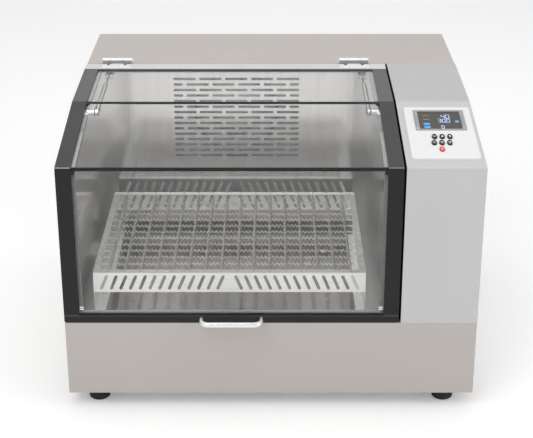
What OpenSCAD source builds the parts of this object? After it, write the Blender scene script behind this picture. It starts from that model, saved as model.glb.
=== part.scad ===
// Incubated benchtop shaker: a heated chamber under a hinged glass lid, with an orbiting
// platform that carries a spring rack, a control column on the right and a drive in the base.
// Drawn in millimetres, +Z up, origin under the middle of the object on the bench.
// Inside the modules X is measured from the cabinet's middle, Y from its front face
// rearwards, and Z from the lower edge of the base.

/* [Cabinet] */
// Width of the cabinet
body_w = 700; // [690:1:740]
// Depth of the cabinet, front face to rear edge
body_d = 650; // [640:1:700]
// Height of the base, up to the seam under the lid
base_h = 136; // [132:1:142]
// Height of the lower bend in the front, above the base's lower edge
bend_low_z = 418; // [400:1:430]
// Height of the upper bend
bend_high_z = 453; // [445:1:458]
// Distance of the upper bend behind the front face
bend_high_y = 233; // [215:1:250]
// Height of the top at the hinges and behind them
top_z = 459; // [459:1:470]
// Where the fixed rear housing begins, behind the front face
housing_y = 443.5; // [442:0.5:447]
// Thickness of the painted sheet steel
sheet = 1.5; // [1:0.1:2]
// Radius of the bend at the lower edge of the slope
bend_r = 4; // [2:0.5:6]
// Height of the rubber feet
foot_h = 28; // [15:1:40]
// Largest diameter of a foot
foot_d = 43; // [36:1:50]
// Distance of the feet from the middle, sideways
foot_x = 302; // [280:1:315]
// Distance of the front feet behind the front face
foot_y = 39; // [34:1:60]

/* [Lid] */
// Width of the lid
lid_w = 566; // [560:1:570]
// Width of the dark rails at the lid's sides
rail_w = 25.5; // [22:0.5:28]
// Depth of the rails, measured square to the outline
rail_depth = 14; // [12:0.5:15]
// Thickness of the glass panes
glass_t = 5; // [4:0.5:5]
// Gap between two panes at a bend, on each side of it
joint_gap = 2.2; // [1.5:0.1:3]
// Width of the handle
handle_w = 109; // [90:1:130]
// Distance that the handle stands out in front of the lid
handle_reach = 28; // [24:1:34]
// Width of each hinge
hinge_w = 55; // [45:1:65]
// Distance of each hinge from the lid's middle
hinge_x = 224; // [200:1:230]

/* [Chamber] */
// Inner width of the chamber
chamber_w = 518; // [514:1:520]
// Height of the chamber floor above the base's lower edge
floor_z = 100; // [99:1:101]
// Distance of the chamber's front sill behind the front face
sill_y = 20; // [19:1:21]
// Distance of the slotted rear wall behind the front face
duct_y = 433; // [430:1:433]
// Rows of slots in the rear wall
slot_rows = 15; // [9:2:15]
// Distance between two rows of slots
slot_pitch_z = 10.98; // [10:0.02:11.2]
// Distance between two slots in a row
slot_pitch_x = 49.2; // [48:0.2:50]
// Length of a slot
slot_len = 42.6; // [38:0.2:43]
// Height of a slot
slot_h = 4.8; // [4:0.1:5.5]

/* [Platform and rack] */
// Radius of the orbit that the platform runs on
orbit_r = 10; // [6:0.5:10]
// Height of the platform's upper face
plate_z = 124; // [124:1:126]
// Width of the rack
rack_w = 464; // [450:1:466]
// Depth of the rack
rack_d = 360; // [350:1:360]
// Height of the rack above the platform
rack_h = 90; // [80:1:95]
// Width of the rack's flat rim
rim_w = 11; // [10:0.5:13]
// Height of the slotted front and rear aprons
apron_h = 37.5; // [36:0.5:42]
// Slanted slots in each half of an apron
slots_per_half = 13; // [9:1:13]
// Distance between two slanted slots
slant_pitch = 16.55; // [16:0.05:16.6]
// Distance between two springs
spring_pitch = 27.5; // [27:0.1:27.6]
// Outer diameter of a spring
spring_d = 6; // [5:0.5:6]

/* [Control panel] */
// Width of the raised control panel
bezel_w = 113.5; // [110:0.5:116]
// Length of the control panel along the slope
bezel_l = 183; // [180:1:185]
// Height of the control panel above the sheet
bezel_t = 3; // [2.5:0.5:4]
// Width of an oval key
key_w = 8.6; // [8:0.1:9.4]
// Length of an oval key
key_l = 15.8; // [14:0.2:17]
// Travel of a key
key_travel = 0.8; // [0.4:0.1:1]

/* [Drive] */
// Diameter of the large belt pulley
big_pulley_d = 132; // [120:1:140]
// Diameter of the motor's belt pulley
small_pulley_d = 44; // [40:1:50]
// Diameter of the drive spindle
spindle_d = 17; // [16:0.5:18]
// Diameter of an idler shaft
idler_d = 12; // [10:0.5:12]
// Sideways distance of the idler shafts from the spindle
idler_x = 170.5; // [160:0.5:175]
// Distance of the idler shafts before and behind the spindle
idler_y = 103; // [95:1:110]
// Distance of the motor shaft behind the front face
motor_y = 505; // [500:1:510]
// Running clearance of a shaft in its bearing, on the radius
fit = 0.05; // [0.02:0.01:0.08]

/* [Hidden] */
$fn = 64;
eps = 0.01;
cut = 20;

// Colours, as seen
warm_grey = [0.75, 0.72, 0.69];
light_grey = [0.78, 0.79, 0.8];
pale_grey = [0.85, 0.84, 0.84];
dark_grey = [0.3, 0.3, 0.3];
black = [0.08, 0.08, 0.08];
steel = [0.72, 0.71, 0.7];
bright = [0.9, 0.9, 0.91];
white = [0.94, 0.94, 0.94];
glass = [0.8, 0.85, 0.85, 0.35];
foam = [0.93, 0.9, 0.8];

// Places across the cabinet
front_y = -(body_d - handle_reach) / 2;
left_x = -body_w / 2;
right_x = body_w / 2;
lid_x = left_x + lid_w / 2;
lid_right_x = left_x + lid_w;
column_x = lid_right_x + 3.6;
chamber_left_x = lid_x - chamber_w / 2;
chamber_right_x = lid_x + chamber_w / 2;
liner = 1.2;
slots_from_z = 271.8;
seat = 17;
glass_in = 2;
pane_left_x = left_x + rail_w;
pane_right_x = lid_right_x - rail_w;
ledge_w = 6;
lid_z = base_h + 2.5;
bar_top_z = lid_z + 11;
pane_z = bar_top_z + 1;
rear_bar_y = 407.5;
rear_rail_y = 411;
rear_bar_depth = 8;
rear_rail_depth = 10;
lid_end_y = housing_y - 0.8;

// Hinges and struts, in the side view
hinge_y = housing_y - 3.5;
hinge_z = top_z + 6;
knuckle_d = 11;
pin_d = 5;
leaf_t = 2;
strut_x = 239;
anchor = [424, 437];
lid_stud = [222, 433.5];
strut_span = norm(lid_stud - anchor);
strut_tilt = atan2(lid_stud[1] - anchor[1], anchor[0] - lid_stud[0]);
strut_eye_w = 8;
strut_eye_r = 5.8;
strut_pin_r = 3;
tube_d = 10.5;
tube_bore_r = 4.2;
tube_at = 58;
rod_d = 5;

// Platform and drive
drive_x = lid_x - 3.5;
platform_y = 217.8;
spindle_y = platform_y + orbit_r;
plate_t = 4;
rack_z = plate_z + rack_h;
frame_z = 77;
frame_t = 6;
belt_z = 46;
belt_w = 14;
belt_t = 3;
belt_gap = 0.35;
belt_settle = 0.1;
crank_z = floor_z + 2;
crank_t = 8;
arm_t = 7;
pin_r = 6;
idler_pin_r = 5;
hub_z = floor_z + 11;
hub_bottom_gap = 0.4;

// Blower
blower_z = 355;
blower_r = 68;
plenum_depth = 46;
plenum_x0 = lid_x - 143;
plenum_x1 = lid_x + 143;
plenum_z0 = 264;
plenum_z1 = 441;

// Rear panel, set in from the rear edge
rear_y = body_d - 5;
inlet_x = 255;
inlet_z = 62;
rocker_pin_r = 1.5;

// Control panel places: X across, L along the slope from the lower bend
bezel_x = 287;
bezel_from = 25;
display_x = 288.5;
display_l0 = 122;
display_l1 = 194;
display_w = 85;
window_w = 72;
window_l = 63;
key_rows = [[98.5, 273.8, 286.6, 299.6], [77.5, 271.3, 284.1, 297.1]];
start_key = [55.5, 282.4];

// Direction helpers in the side view (Y, Z)
function unit(v) = v / norm(v);
function inward(v) = [unit(v)[1], -unit(v)[0]];
// Corner of the outline at p, between edges along a and b, moved inwards by d
function corner(p, a, b, d) =
    let (n = inward(a), m = inward(b)) p + d * (n + m) / (1 + n * m);
function reversed(list) = [for (i = [len(list) - 1:-1:0]) list[i]];

bend_low = [0, bend_low_z];
bend_high = [bend_high_y, bend_high_z];
top_end = [housing_y, top_z];
dir_front = [0, 1];
dir_slope = unit(bend_high - bend_low);
dir_top = unit(top_end - bend_high);
slope_angle = atan2(dir_slope[1], dir_slope[0]);
top_angle = atan2(dir_top[1], dir_top[0]);

// Height of the top outline at y, moved inwards by d
function top_at(y, d) = bend_high_z + (y - bend_high_y) * tan(top_angle) - d / cos(top_angle);
// Lower bend as an arc, or as a corner once d is more than its radius
function low_bend(d) =
    let (c = corner(bend_low, dir_front, dir_slope, bend_r), steps = 6)
    d >= bend_r ? [corner(bend_low, dir_front, dir_slope, d)]
    : [for (i = [0:steps]) let (a = 180 - i * (90 - slope_angle) / steps)
        c + (bend_r - d) * [cos(a), sin(a)]];
// Outline from z0 at the front, over both bends, to y1 at the rear, moved inwards by d
function outline(d, z0, y1) = concat([[d, z0]], low_bend(d),
    [corner(bend_high, dir_slope, dir_top, d), [y1, top_at(y1, d)]]);
function band(d0, d1, z0, y1) = concat(outline(d0, z0, y1), reversed(outline(d1, z0, y1)));
function filled(d, z0, y1) = concat(outline(d, z0, y1), [[y1, z0]]);

module in_cabinet() translate([0, front_y, foot_h]) children();
// Extrudes a side view (Y, Z) from x0 to x1
module across(x0, x1) translate([x0, 0, 0]) rotate([90, 0, 90]) linear_extrude(x1 - x0) children();
// Extrudes a front view (X, Z) from y0 to y1
module rearward(y0, y1) translate([0, y1, 0]) rotate([90, 0, 0]) linear_extrude(y1 - y0) children();
// Extrudes a plan (X, Y) from z0 to z1
module upward(z0, z1) translate([0, 0, z0]) linear_extrude(z1 - z0) children();
module box(x0, x1, y0, y1, z0, z1) translate([x0, y0, z0]) cube([x1 - x0, y1 - y0, z1 - z0]);
module rod_z(x, y, z0, z1, r) translate([x, y, z0]) cylinder(h = z1 - z0, r = r);
module rod_y(x, z, y0, y1, r) translate([x, y0, z]) rotate([-90, 0, 0]) cylinder(h = y1 - y0, r = r);
module rod_x(y, z, x0, x1, r) translate([x0, y, z]) rotate([0, 90, 0]) cylinder(h = x1 - x0, r = r);
module rounded(w, l, r) {
    square([w - 2 * r, l], center = true);
    square([w, l - 2 * r], center = true);
    for (x = [-1, 1], y = [-1, 1]) translate([x * (w / 2 - r), y * (l / 2 - r)]) circle(r);
}
// Rounded rectangle given by its sides
module rounded_box(x0, x1, y0, y1, r)
    translate([(x0 + x1) / 2, (y0 + y1) / 2]) rounded(x1 - x0, y1 - y0, r);
module obround(length, width) {
    square([length - width, width], center = true);
    for (s = [-1, 1]) translate([s * (length - width) / 2, 0]) circle(d = width);
}
// Grid of obround slots
module slot_field(x, z, columns, rows, pitch_x, pitch_z, length, width)
    for (i = [0:columns - 1], j = [0:rows - 1])
        translate([x + (i - (columns - 1) / 2) * pitch_x, z + (j - (rows - 1) / 2) * pitch_z])
            obround(length, width);
module mirrored_pair(x) for (s = [0, 1]) translate([x, 0, 0]) mirror([s, 0, 0]) children();
// Frame of the sloping panel: X across, Y along the slope, Z out of it
module on_slope() translate([0, 0, bend_low_z]) rotate([slope_angle, 0, 0]) children();
module screw(d, h) difference() {
    cylinder(h = h, d1 = d, d2 = d * 0.8);
    for (a = [0, 90]) rotate([0, 0, a]) translate([-d * 0.3, -d * 0.06, h * 0.45])
        cube([d * 0.6, d * 0.12, h]);
}

// Base: a folded tray without a bottom, open at the rear, with a flange round the chamber
module base_shell() color(warm_grey) in_cabinet() difference() {
    upward(0, base_h) rounded_box(left_x, right_x, 0, body_d, 3);
    upward(-1, base_h - sheet) rounded_box(left_x + sheet, right_x - sheet, sheet, body_d + cut, 1.5);
    upward(base_h - 2 * sheet, base_h + 1) polygon([[chamber_left_x - liner, seat],
        [right_x - 24, seat], [right_x - 24, body_d + cut], [chamber_left_x - liner, body_d + cut]]);
    box(left_x + sheet, right_x - sheet, rear_y, body_d + 1, -1, base_h + 1);
}

// Bottom pan: a flat sheet with turned-up edges and vent slots under the drive and the electronics
module bottom_pan() color(steel) in_cabinet() {
    inner_x = right_x - sheet;
    difference() {
        box(-inner_x, inner_x, sheet, rear_y, 0, sheet);
        upward(-1, sheet + 1) {
            slot_field(drive_x, motor_y, 3, 9, 46, 12, 38, 5);
            slot_field(280, 230, 2, 11, 46, 12, 38, 5);
        }
    }
    for (y = [sheet, rear_y - sheet]) box(-inner_x + 20, inner_x - 20, y, y + sheet, sheet, 14);
}

// Rubber feet: a tapered body with a wide collar and a recess for the screw
module feet() color(black) in_cabinet()
    for (x = [-foot_x, foot_x], y = [foot_y, body_d - foot_y]) translate([x, y, -foot_h])
        difference() {
            rotate_extrude() polygon([[0, 0], [foot_d / 2 - 5.5, 0], [foot_d / 2 - 3.5, 2],
                [foot_d / 2 - 1, foot_h - 6], [foot_d / 2, foot_h - 5], [foot_d / 2, foot_h],
                [0, foot_h]]);
            translate([0, 0, -1]) cylinder(h = foot_h - 8, r = 7);
        }

// Outer cabinet: left side, rear top and the right side behind the column
module cabinet_shell() color(warm_grey) in_cabinet() {
    difference() {
        rearward(housing_y, body_d) arch(left_x, right_x, base_h, top_z, 4);
        rearward(housing_y + sheet, body_d + 1)
            arch(left_x + sheet, right_x - sheet, base_h - 1, top_z - sheet, 2.5);
        box(chamber_left_x - 22, right_x - sheet, housing_y - 1, housing_y + cut, base_h - 1, plenum_z1);
    }
    across(left_x, left_x + sheet) polygon(filled(seat, base_h, housing_y));
}
// Front view of a housing with its upper corners rounded
module arch(x0, x1, z0, z1, r) {
    translate([x0, z0]) square([x1 - x0, z1 - z0 - r]);
    translate([x0 + r, z0]) square([x1 - x0 - 2 * r, z1 - z0]);
    for (x = [x0 + r, x1 - r]) translate([x, z1 - r]) circle(r);
}

// Rear panel with vents for the blower motor and the electronics
module rear_panel() color(warm_grey) in_cabinet() rearward(rear_y, rear_y + sheet) difference() {
    union() {
        translate([left_x + sheet, 0]) square([body_w - 2 * sheet, base_h + 100]);
        arch(left_x + sheet, right_x - sheet, base_h, top_z - sheet, 2.5);
    }
    slot_field(lid_x, blower_z, 5, 9, 44, 12, 36, 5);
    slot_field(lid_x, 110, 5, 6, 44, 12, 36, 5);
    slot_field(inlet_x, 300, 2, 12, 44, 12, 36, 5);
    translate([inlet_x, inlet_z]) square([27, 46], center = true);
}

// Column on the right that carries the controls, open at the bottom and the rear
module control_column() color(light_grey) in_cabinet() difference() {
    across(column_x, right_x) polygon(filled(0, base_h, housing_y));
    across(column_x + sheet, right_x - sheet) polygon(filled(sheet, base_h - 1, housing_y + 1));
    on_slope() translate([0, 0, -cut]) linear_extrude(2 * cut) {
        rounded_box(display_x - 38, display_x + 38, display_l0 + 4, display_l1 - 4, 2);
        rounded_box(262, 311, 36, 112, 4);
    }
}

// Stainless chamber: floor, front sill and two side walls with a flange for the lid's gasket
module chamber_liner() color(steel) in_cabinet() {
    difference() {
        box(chamber_left_x, chamber_right_x, sill_y, duct_y, floor_z - liner, floor_z);
        unit_holes();
    }
    box(chamber_left_x, chamber_right_x, sill_y - liner, sill_y, floor_z - liner, base_h);
    box(chamber_left_x, chamber_right_x, seat, sill_y - liner, base_h - liner, base_h);
    across(chamber_left_x - liner, chamber_left_x)
        polygon(concat(outline(seat, base_h, duct_y), [[duct_y, floor_z - liner], [seat, floor_z - liner]]));
    across(left_x + sheet, chamber_left_x - liner) polygon(band(seat, seat + liner, base_h, duct_y));
    across(chamber_right_x, chamber_right_x + liner)
        polygon(concat(outline(seat, base_h, duct_y), [[duct_y, floor_z - liner], [seat, floor_z - liner]]));
    across(chamber_right_x + liner, column_x) polygon(band(seat, seat + liner, base_h, duct_y));
}
// Radius of a bearing unit's neck for a shaft diameter
function unit_r(d) = d * 1.45 + 1;
module unit_holes() {
    gap = 0.3;
    rod_z(drive_x, spindle_y, 0, 200, unit_r(spindle_d) + gap);
    at_idlers() cylinder(h = 200, r = unit_r(idler_d) + gap);
}
module at_idlers() for (x = [-1, 1], y = [-1, 1])
    translate([drive_x + x * idler_x, spindle_y + y * idler_y, 0]) children();

// Slotted rear wall of the chamber, with the rows of slots laid like bricks
module duct_cover() color(steel) in_cabinet() rearward(duct_y, duct_y + liner) difference() {
    polygon([[chamber_left_x, floor_z - liner], [chamber_right_x, floor_z - liner],
        [chamber_right_x, plenum_z1], [chamber_left_x, plenum_z1]]);
    for (j = [0:slot_rows - 1]) translate([lid_x + 1, slots_from_z + j * slot_pitch_z + slot_h / 2]) {
        if (j % 2 == 0) for (i = [-2:2]) translate([i * slot_pitch_x, 0]) obround(slot_len, slot_h);
        else {
            for (i = [-1.5:1:1.5]) translate([i * slot_pitch_x, 0]) obround(slot_len, slot_h);
            for (s = [-1, 1]) translate([s * (2.5 * slot_pitch_x - 12.3), 0]) obround(18, slot_h);
        }
    }
}

// Foam boards round the chamber: left, right, floor and rear
module insulation_panels() color(foam) in_cabinet() {
    across(left_x + sheet, chamber_left_x - liner)
        polygon(filled(seat + liner, base_h, duct_y));
    across(chamber_right_x + liner, column_x) polygon(filled(seat + liner, base_h, duct_y));
    difference() {
        box(chamber_left_x, chamber_right_x, sill_y, duct_y, frame_z + frame_t, floor_z - liner);
        unit_holes();
    }
    difference() {
        box(chamber_left_x, chamber_right_x, duct_y + liner, duct_y + 19, base_h, plenum_z1);
        box(plenum_x0, plenum_x1, duct_y, duct_y + cut, plenum_z0, plenum_z1 + 1);
    }
}

// Rubber gasket on the chamber's edge, which the closed lid rests on
module lid_gasket() color(black) in_cabinet() {
    gasket_out = rail_depth + 0.3;
    across(left_x + 4, chamber_left_x - 4) polygon(band(gasket_out, seat, base_h, rear_bar_y));
    across(chamber_right_x + 4, lid_right_x - 4)
        polygon(band(gasket_out, seat, base_h, rear_bar_y));
    box(left_x + 4, lid_right_x - 4, 0.6, rail_depth, base_h, lid_z - 0.3);
}

// Parts of a hinge, drawn round its own middle
module at_hinges() for (s = [-1, 1]) translate([lid_x + s * hinge_x, 0, 0]) children();
module leaf_screws(y, z) for (s = [-1, 1]) translate([s * hinge_w * 0.29, y, z]) screw(6, 1.4);

// Fixed hinge leaves with their pressed-in pins
module hinge_leaves_cabinet() color(bright) in_cabinet() at_hinges() {
    side = hinge_w * 0.28;
    back = hinge_y + 26;
    upper = top_z + leaf_t;
    box(-hinge_w / 2, hinge_w / 2, hinge_y + 7, back, top_z, upper);
    for (s = [-1, 1]) {
        x0 = s < 0 ? -hinge_w / 2 : hinge_w / 2 - side;
        difference() {
            union() {
                rod_x(hinge_y, hinge_z, x0, x0 + side, knuckle_d / 2);
                across(x0, x0 + side) polygon([[hinge_y, top_z + 0.6], [housing_y + 0.4, top_z + 0.6],
                    [housing_y + 1, top_z], [back, top_z], [back, upper], [hinge_y, upper]]);
            }
            rod_x(hinge_y, hinge_z, x0 - 1, x0 + side + 1, pin_d / 2);
        }
    }
    rod_x(hinge_y, hinge_z, -hinge_w / 2 + 0.5, hinge_w / 2 - 0.5, pin_d / 2);
}
// Moving hinge leaves over the rear rail, with one long knuckle between the fixed ones
module hinge_leaves_lid() color(bright) in_cabinet() at_hinges() {
    half = hinge_w * 0.22 - 0.4;
    front = rear_rail_y + 0.5;
    back = hinge_y - 5;
    screw_y = back - 7.5;
    difference() {
        union() {
            across(-hinge_w / 2, hinge_w / 2) polygon([[front, top_at(front, 0)],
                [back, top_at(back, 0)], [back, top_at(back, -leaf_t)], [front, top_at(front, -leaf_t)]]);
            box(-half, half, back - 1, hinge_y, top_z + 0.4, top_z + leaf_t);
            rod_x(hinge_y, hinge_z, -half, half, knuckle_d / 2);
        }
        rod_x(hinge_y, hinge_z, -hinge_w, hinge_w, pin_d / 2 + fit);
    }
    leaf_screws(screw_y, top_at(screw_y, -leaf_t) - 0.2);
}

// Forked anchors on the chamber's rear wall, each with a pin for the end of a strut
module strut_anchors() color(steel) in_cabinet() mirrored_pair(lid_x) {
    cheek = 2;
    inner = strut_x - strut_eye_w / 2 - 0.5;
    outer = strut_x + strut_eye_w / 2 + 0.5;
    height = 10.5;
    low = anchor[1] - 6.5;
    for (x = [inner - cheek, outer]) across(x, x + cheek) {
        translate([anchor[0], low]) square([duct_y - anchor[0], height]);
        translate([anchor[0], low + height / 2]) circle(d = height);
    }
    box(inner - cheek, outer + cheek, duct_y - 2, duct_y, low, low + height);
    rod_x(anchor[0], anchor[1], inner - cheek - 1, outer + cheek + 1, strut_pin_r);
}
// Brackets on the inner faces of the lid's rails: a plate along the slope, two screws and a stud
module strut_brackets() color(bright) in_cabinet() mirrored_pair(lid_x) {
    face_x = lid_w / 2 - rail_w;
    plate_x = face_x - 2.5;
    across(plate_x, face_x) translate(lid_stud) rotate(slope_angle) translate([0, 1]) obround(50, 15);
    stud(strut_x + strut_eye_w / 2 + 0.6, plate_x + eps, 5.2, [0, 0]);
    stud(plate_x - 2, plate_x + eps, 7, [0, 0]);
    for (s = [-1, 1]) stud(plate_x - 2, plate_x + eps, 2.8, [s * 17, 4.5]);
}
// Round stud at a place on the bracket, measured along the slope and square to it
module stud(x0, x1, r, place) {
    turned = place[0] * dir_slope - place[1] * inward(dir_slope);
    rod_x(lid_stud[0] + turned[0], lid_stud[1] + turned[1], x0, x1, r);
}

// A strut is drawn along X from its anchor, then laid along its line in the side view
module along_strut(side) in_cabinet() translate([lid_x + side * strut_x, anchor[0], anchor[1]])
    rotate([0, 0, -90]) rotate([0, -strut_tilt, 0]) children();
module strut_bar(x0, x1, r) translate([x0, 0, 0]) rotate([0, 90, 0]) cylinder(h = x1 - x0, r = r);
module strut_eye(x, w, r) translate([x, 0, 0]) rotate([90, 0, 0]) cylinder(h = w, r = r, center = true);
// Rod with its anchor eye at one end and the piston at the other
module strut_rod(side) color(bright) along_strut(side) {
    piston_at = 168;
    difference() {
        union() {
            strut_eye(0, strut_eye_w, strut_eye_r);
            strut_bar(0, 14, 3.4);
        }
        strut_eye(0, strut_eye_w + 2, strut_pin_r + fit);
    }
    strut_bar(13, piston_at + eps, rod_d / 2);
    strut_bar(piston_at, piston_at + 8, tube_bore_r - fit);
}
// Gas tube with the eye at the lid's stud
module strut_tube(side) color(steel) along_strut(side) {
    end = strut_span - 13;
    difference() {
        strut_bar(tube_at, end, tube_d / 2);
        strut_bar(tube_at + 5, end - 6, tube_bore_r);
        strut_bar(tube_at - 1, tube_at + 6, rod_d / 2 + fit);
    }
    strut_bar(end - eps, strut_span - 4, 3.4);
    strut_eye(strut_span, strut_eye_w, strut_eye_r);
    strut_eye(strut_span, strut_eye_w + 0.6, strut_pin_r);
}

// Raised control panel with openings for the display and the keys
module bezel_shape(inset, r) translate([bezel_x, bezel_from + bezel_l / 2])
    rounded(bezel_w - 2 * inset, bezel_l - 2 * inset, r);
module display_outline(w, l) translate([display_x, (display_l0 + display_l1) / 2]) rounded(w, l, 2);
module at_key(place) translate([place[1], place[0]]) children();
// Oval with flat sides and rounded ends, w across and l along the slope
module oval(w, l) {
    side_r = 1.45 * w;
    intersection() {
        circle(l / 2);
        translate([side_r - w / 2, 0]) circle(side_r);
        translate([w / 2 - side_r, 0]) circle(side_r);
    }
}
key_places = concat([for (row = key_rows, i = [1:3]) [row[0], row[i]]], [start_key]);
module control_bezel() color(white) in_cabinet() on_slope() difference() {
    union() {
        linear_extrude(bezel_t - 0.8) bezel_shape(0, 5);
        translate([0, 0, bezel_t - 0.8]) linear_extrude(0.8) bezel_shape(0.7, 4.3);
    }
    translate([0, 0, -1]) linear_extrude(bezel_t + 2) {
        display_outline(display_w, display_l1 - display_l0);
        for (place = key_places) at_key(place) oval(key_w + 0.8, key_l + 0.8);
    }
}
// Display frame with an arched bar along each side of the window
module display_frame() color(dark_grey) in_cabinet() on_slope() {
    arch_r = 190;
    arch_rise = 2.8;
    bar_w = (display_w - window_w) / 2 - 1.5;
    for (s = [-1, 1]) intersection() {
        rod_x((display_l0 + display_l1) / 2, bezel_t + 0.8 + arch_rise - arch_r, display_x - 60,
            display_x + 60, arch_r, $fn = 360);
        translate([display_x + s * (display_w - bar_w - 1) / 2, 0, bezel_t])
            linear_extrude(6) translate([0, (display_l0 + display_l1) / 2])
                square([bar_w, display_l1 - display_l0 - 4], center = true);
    }
    difference() {
        union() {
            linear_extrude(bezel_t) display_outline(display_w, display_l1 - display_l0);
            translate([0, 0, bezel_t]) linear_extrude(0.8)
                display_outline(display_w + 2, display_l1 - display_l0 + 2);
        }
        translate([0, 0, -1]) linear_extrude(bezel_t + 3) display_outline(window_w, window_l);
    }
}
module display_window() color([0.16, 0.13, 0.12]) in_cabinet() on_slope()
    linear_extrude(bezel_t - 0.4) display_outline(window_w, window_l);
// Circuit board under the panel, with the display module and one switch under each key
module control_board() color([0.1, 0.35, 0.2]) in_cabinet() on_slope() {
    board_z = -18;
    translate([0, 0, board_z]) linear_extrude(1.6) rounded_box(240, 336, 36, 199, 3);
    translate([0, 0, board_z + 1.6]) linear_extrude(-board_z - 3.5)
        display_outline(window_w + 2, window_l + 2);
    for (place = key_places) translate([0, 0, board_z + 1.6]) linear_extrude(2) at_key(place)
        square(6, center = true);
    for (x = [250, 326], y = [44, 191]) translate([x, y, board_z + 1.6])
        cylinder(h = -board_z - 1.6 - sheet, r = 3);
}
// One key: an oval cap on a flange, with a stem that reaches down to its switch
module key(place, tint) color(tint) in_cabinet() on_slope() translate([place[1], place[0], 0]) {
    translate([0, 0, -2.4]) linear_extrude(bezel_t + 4.2) oval(key_w, key_l);
    translate([0, 0, -2.4]) linear_extrude(1.5) square([key_w + 1.6, key_l + 1.2], center = true);
    translate([0, 0, -18 + 3.6 + key_travel + 0.2]) cylinder(h = 18 - 3.6 - key_travel - 2.4, r = 2);
}

// Power supply in the base, with cooling fins on its lid
module power_supply() color(steel) in_cabinet() {
    box(236, 330, 120, 330, sheet, 46);
    for (i = [0:13]) box(236, 330, 128 + i * 15, 130 + i * 15, 46, 52);
}

// Steel plate on four posts that carries the bearing units and the motor
module drive_frame() color(steel) in_cabinet() {
    half = 215;
    difference() {
        upward(frame_z, frame_z + frame_t) rounded_box(lid_x - 235, lid_x + 235, 60, 566, 12);
        unit_holes();
        rod_z(drive_x, motor_y, 0, 200, 12);
        for (x = [-1, 1], y = [-1, 1]) rod_z(drive_x + x * 38, motor_y + y * 38, 0, 200, 3.5);
    }
    for (x = [-half, half], y = [82, 545]) difference() {
        rod_z(lid_x + x, y, sheet, frame_z, 12);
        rod_z(lid_x + x, y, sheet - 1, frame_z - 10, 4);
    }
}

// Flanged bearing units: a turned neck through the floor, a bolted flange and a bored bearing
module bearing_unit(shaft_d, flange_r, flange_t) {
    neck = unit_r(shaft_d);
    difference() {
        rotate_extrude() polygon([[shaft_d / 2 + fit, frame_z - flange_t], [flange_r, frame_z - flange_t],
            [flange_r, frame_z], [neck, frame_z], [neck, floor_z + 0.2], [neck - 1, floor_z + 1.2],
            [shaft_d / 2 + 4, floor_z + 1.2], [shaft_d / 2 + 3, floor_z + 0.6],
            [shaft_d / 2 + fit, floor_z + 0.6]]);
        for (a = [45:90:315]) rotate([0, 0, a]) translate([flange_r - 8, 0, frame_z - flange_t - 1])
            cylinder(h = flange_t + 2, r = 3.3);
    }
}
module bearing_units() color(steel) in_cabinet() {
    translate([drive_x, spindle_y, 0]) bearing_unit(spindle_d, 50, 9);
    at_idlers() bearing_unit(idler_d, 34, 7);
}

// Grooved belt pulley with flanges, spoke holes and a hub
module pulley(outer_d, bore_r, holes) difference() {
    groove = 1.2;
    pitch = 3;
    rim = outer_d / 2;
    rotate_extrude() polygon(concat([[bore_r, belt_z - 2], [rim + 3, belt_z - 2], [rim + 3, belt_z - 0.6],
        [rim, belt_z - 0.6]],
        [for (i = [0:3], k = [0:1]) [rim - k * groove, belt_z + 1.2 + i * pitch + k * pitch / 2]],
        [[rim, belt_z + belt_w + 0.6], [rim + 3, belt_z + belt_w + 0.6],
        [rim + 3, belt_z + belt_w + 2], [bore_r, belt_z + belt_w + 2]]));
    if (holes > 0) for (a = [0:360 / holes:359]) rotate([0, 0, a])
        translate([rim * 0.6, 0, 0]) cylinder(h = 100, r = rim * 0.2);
}
// Belt round both pulleys, drawn as an open loop with round ends and straight runs
module drive_belt() color(black) in_cabinet() upward(belt_z, belt_z + belt_w) difference() {
    belt_loop(belt_gap + belt_t);
    belt_loop(belt_gap);
}
module belt_loop(grow) {
    r0 = big_pulley_d / 2 + grow;
    r1 = small_pulley_d / 2 + grow;
    span = motor_y - spindle_y;
    a = asin((r0 - r1) / span);
    translate([drive_x, spindle_y]) circle(r0);
    translate([drive_x, motor_y]) circle(r1);
    s0 = r0 - belt_settle;
    s1 = r1 - belt_settle;
    translate([drive_x, spindle_y]) polygon([[s0 * cos(a), s0 * sin(a)],
        [s1 * cos(a), span + s1 * sin(a)], [-s1 * cos(a), span + s1 * sin(a)],
        [-s0 * cos(a), s0 * sin(a)]]);
}
// Spindle with its pulley, the eccentric crank disc, its counterweight and the drive pin
module drive_spindle() color(steel) in_cabinet() translate([drive_x, spindle_y, 0]) {
    rod_z(0, 0, belt_z - 6, crank_z + 1, spindle_d / 2);
    rod_z(0, 0, frame_z - 13.5, frame_z - 9.5, spindle_d / 2 + 3);
    pulley(big_pulley_d, spindle_d / 2, 6);
    upward(crank_z, crank_z + crank_t) {
        circle(26);
        difference() {
            circle(62);
            translate([-70, -70]) square([140, 70 + 12]);
            for (s = [-1, 1]) translate([s * 70, 10]) rotate(s * 28) square([60, 90], center = true);
        }
        translate([-14, 0]) square([28, 30]);
    }
    rod_z(0, -orbit_r, crank_z + crank_t, plate_z - plate_t - hub_bottom_gap, pin_r);
}
module motor_pulley() color(steel) in_cabinet() translate([drive_x, motor_y, 0]) {
    rod_z(0, 0, belt_z - 4, frame_z + 40, 6);
    pulley(small_pulley_d, 6, 0);
}
module idler_crank(i) color(steel) in_cabinet()
    translate([drive_x + (i % 2 == 1 ? -1 : 1) * idler_x, spindle_y + (i < 3 ? -1 : 1) * idler_y, 0]) {
        rod_z(0, 0, frame_z - 12, crank_z + 1, idler_d / 2);
        rod_z(0, 0, frame_z - 11, frame_z - 7.5, idler_d / 2 + 2.5);
        upward(crank_z, crank_z + arm_t) translate([0, -orbit_r / 2]) rotate(90)
            obround(orbit_r + 26, 26);
        rod_z(0, -orbit_r, crank_z + arm_t, plate_z - plate_t - hub_bottom_gap, idler_pin_r);
    }
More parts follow.
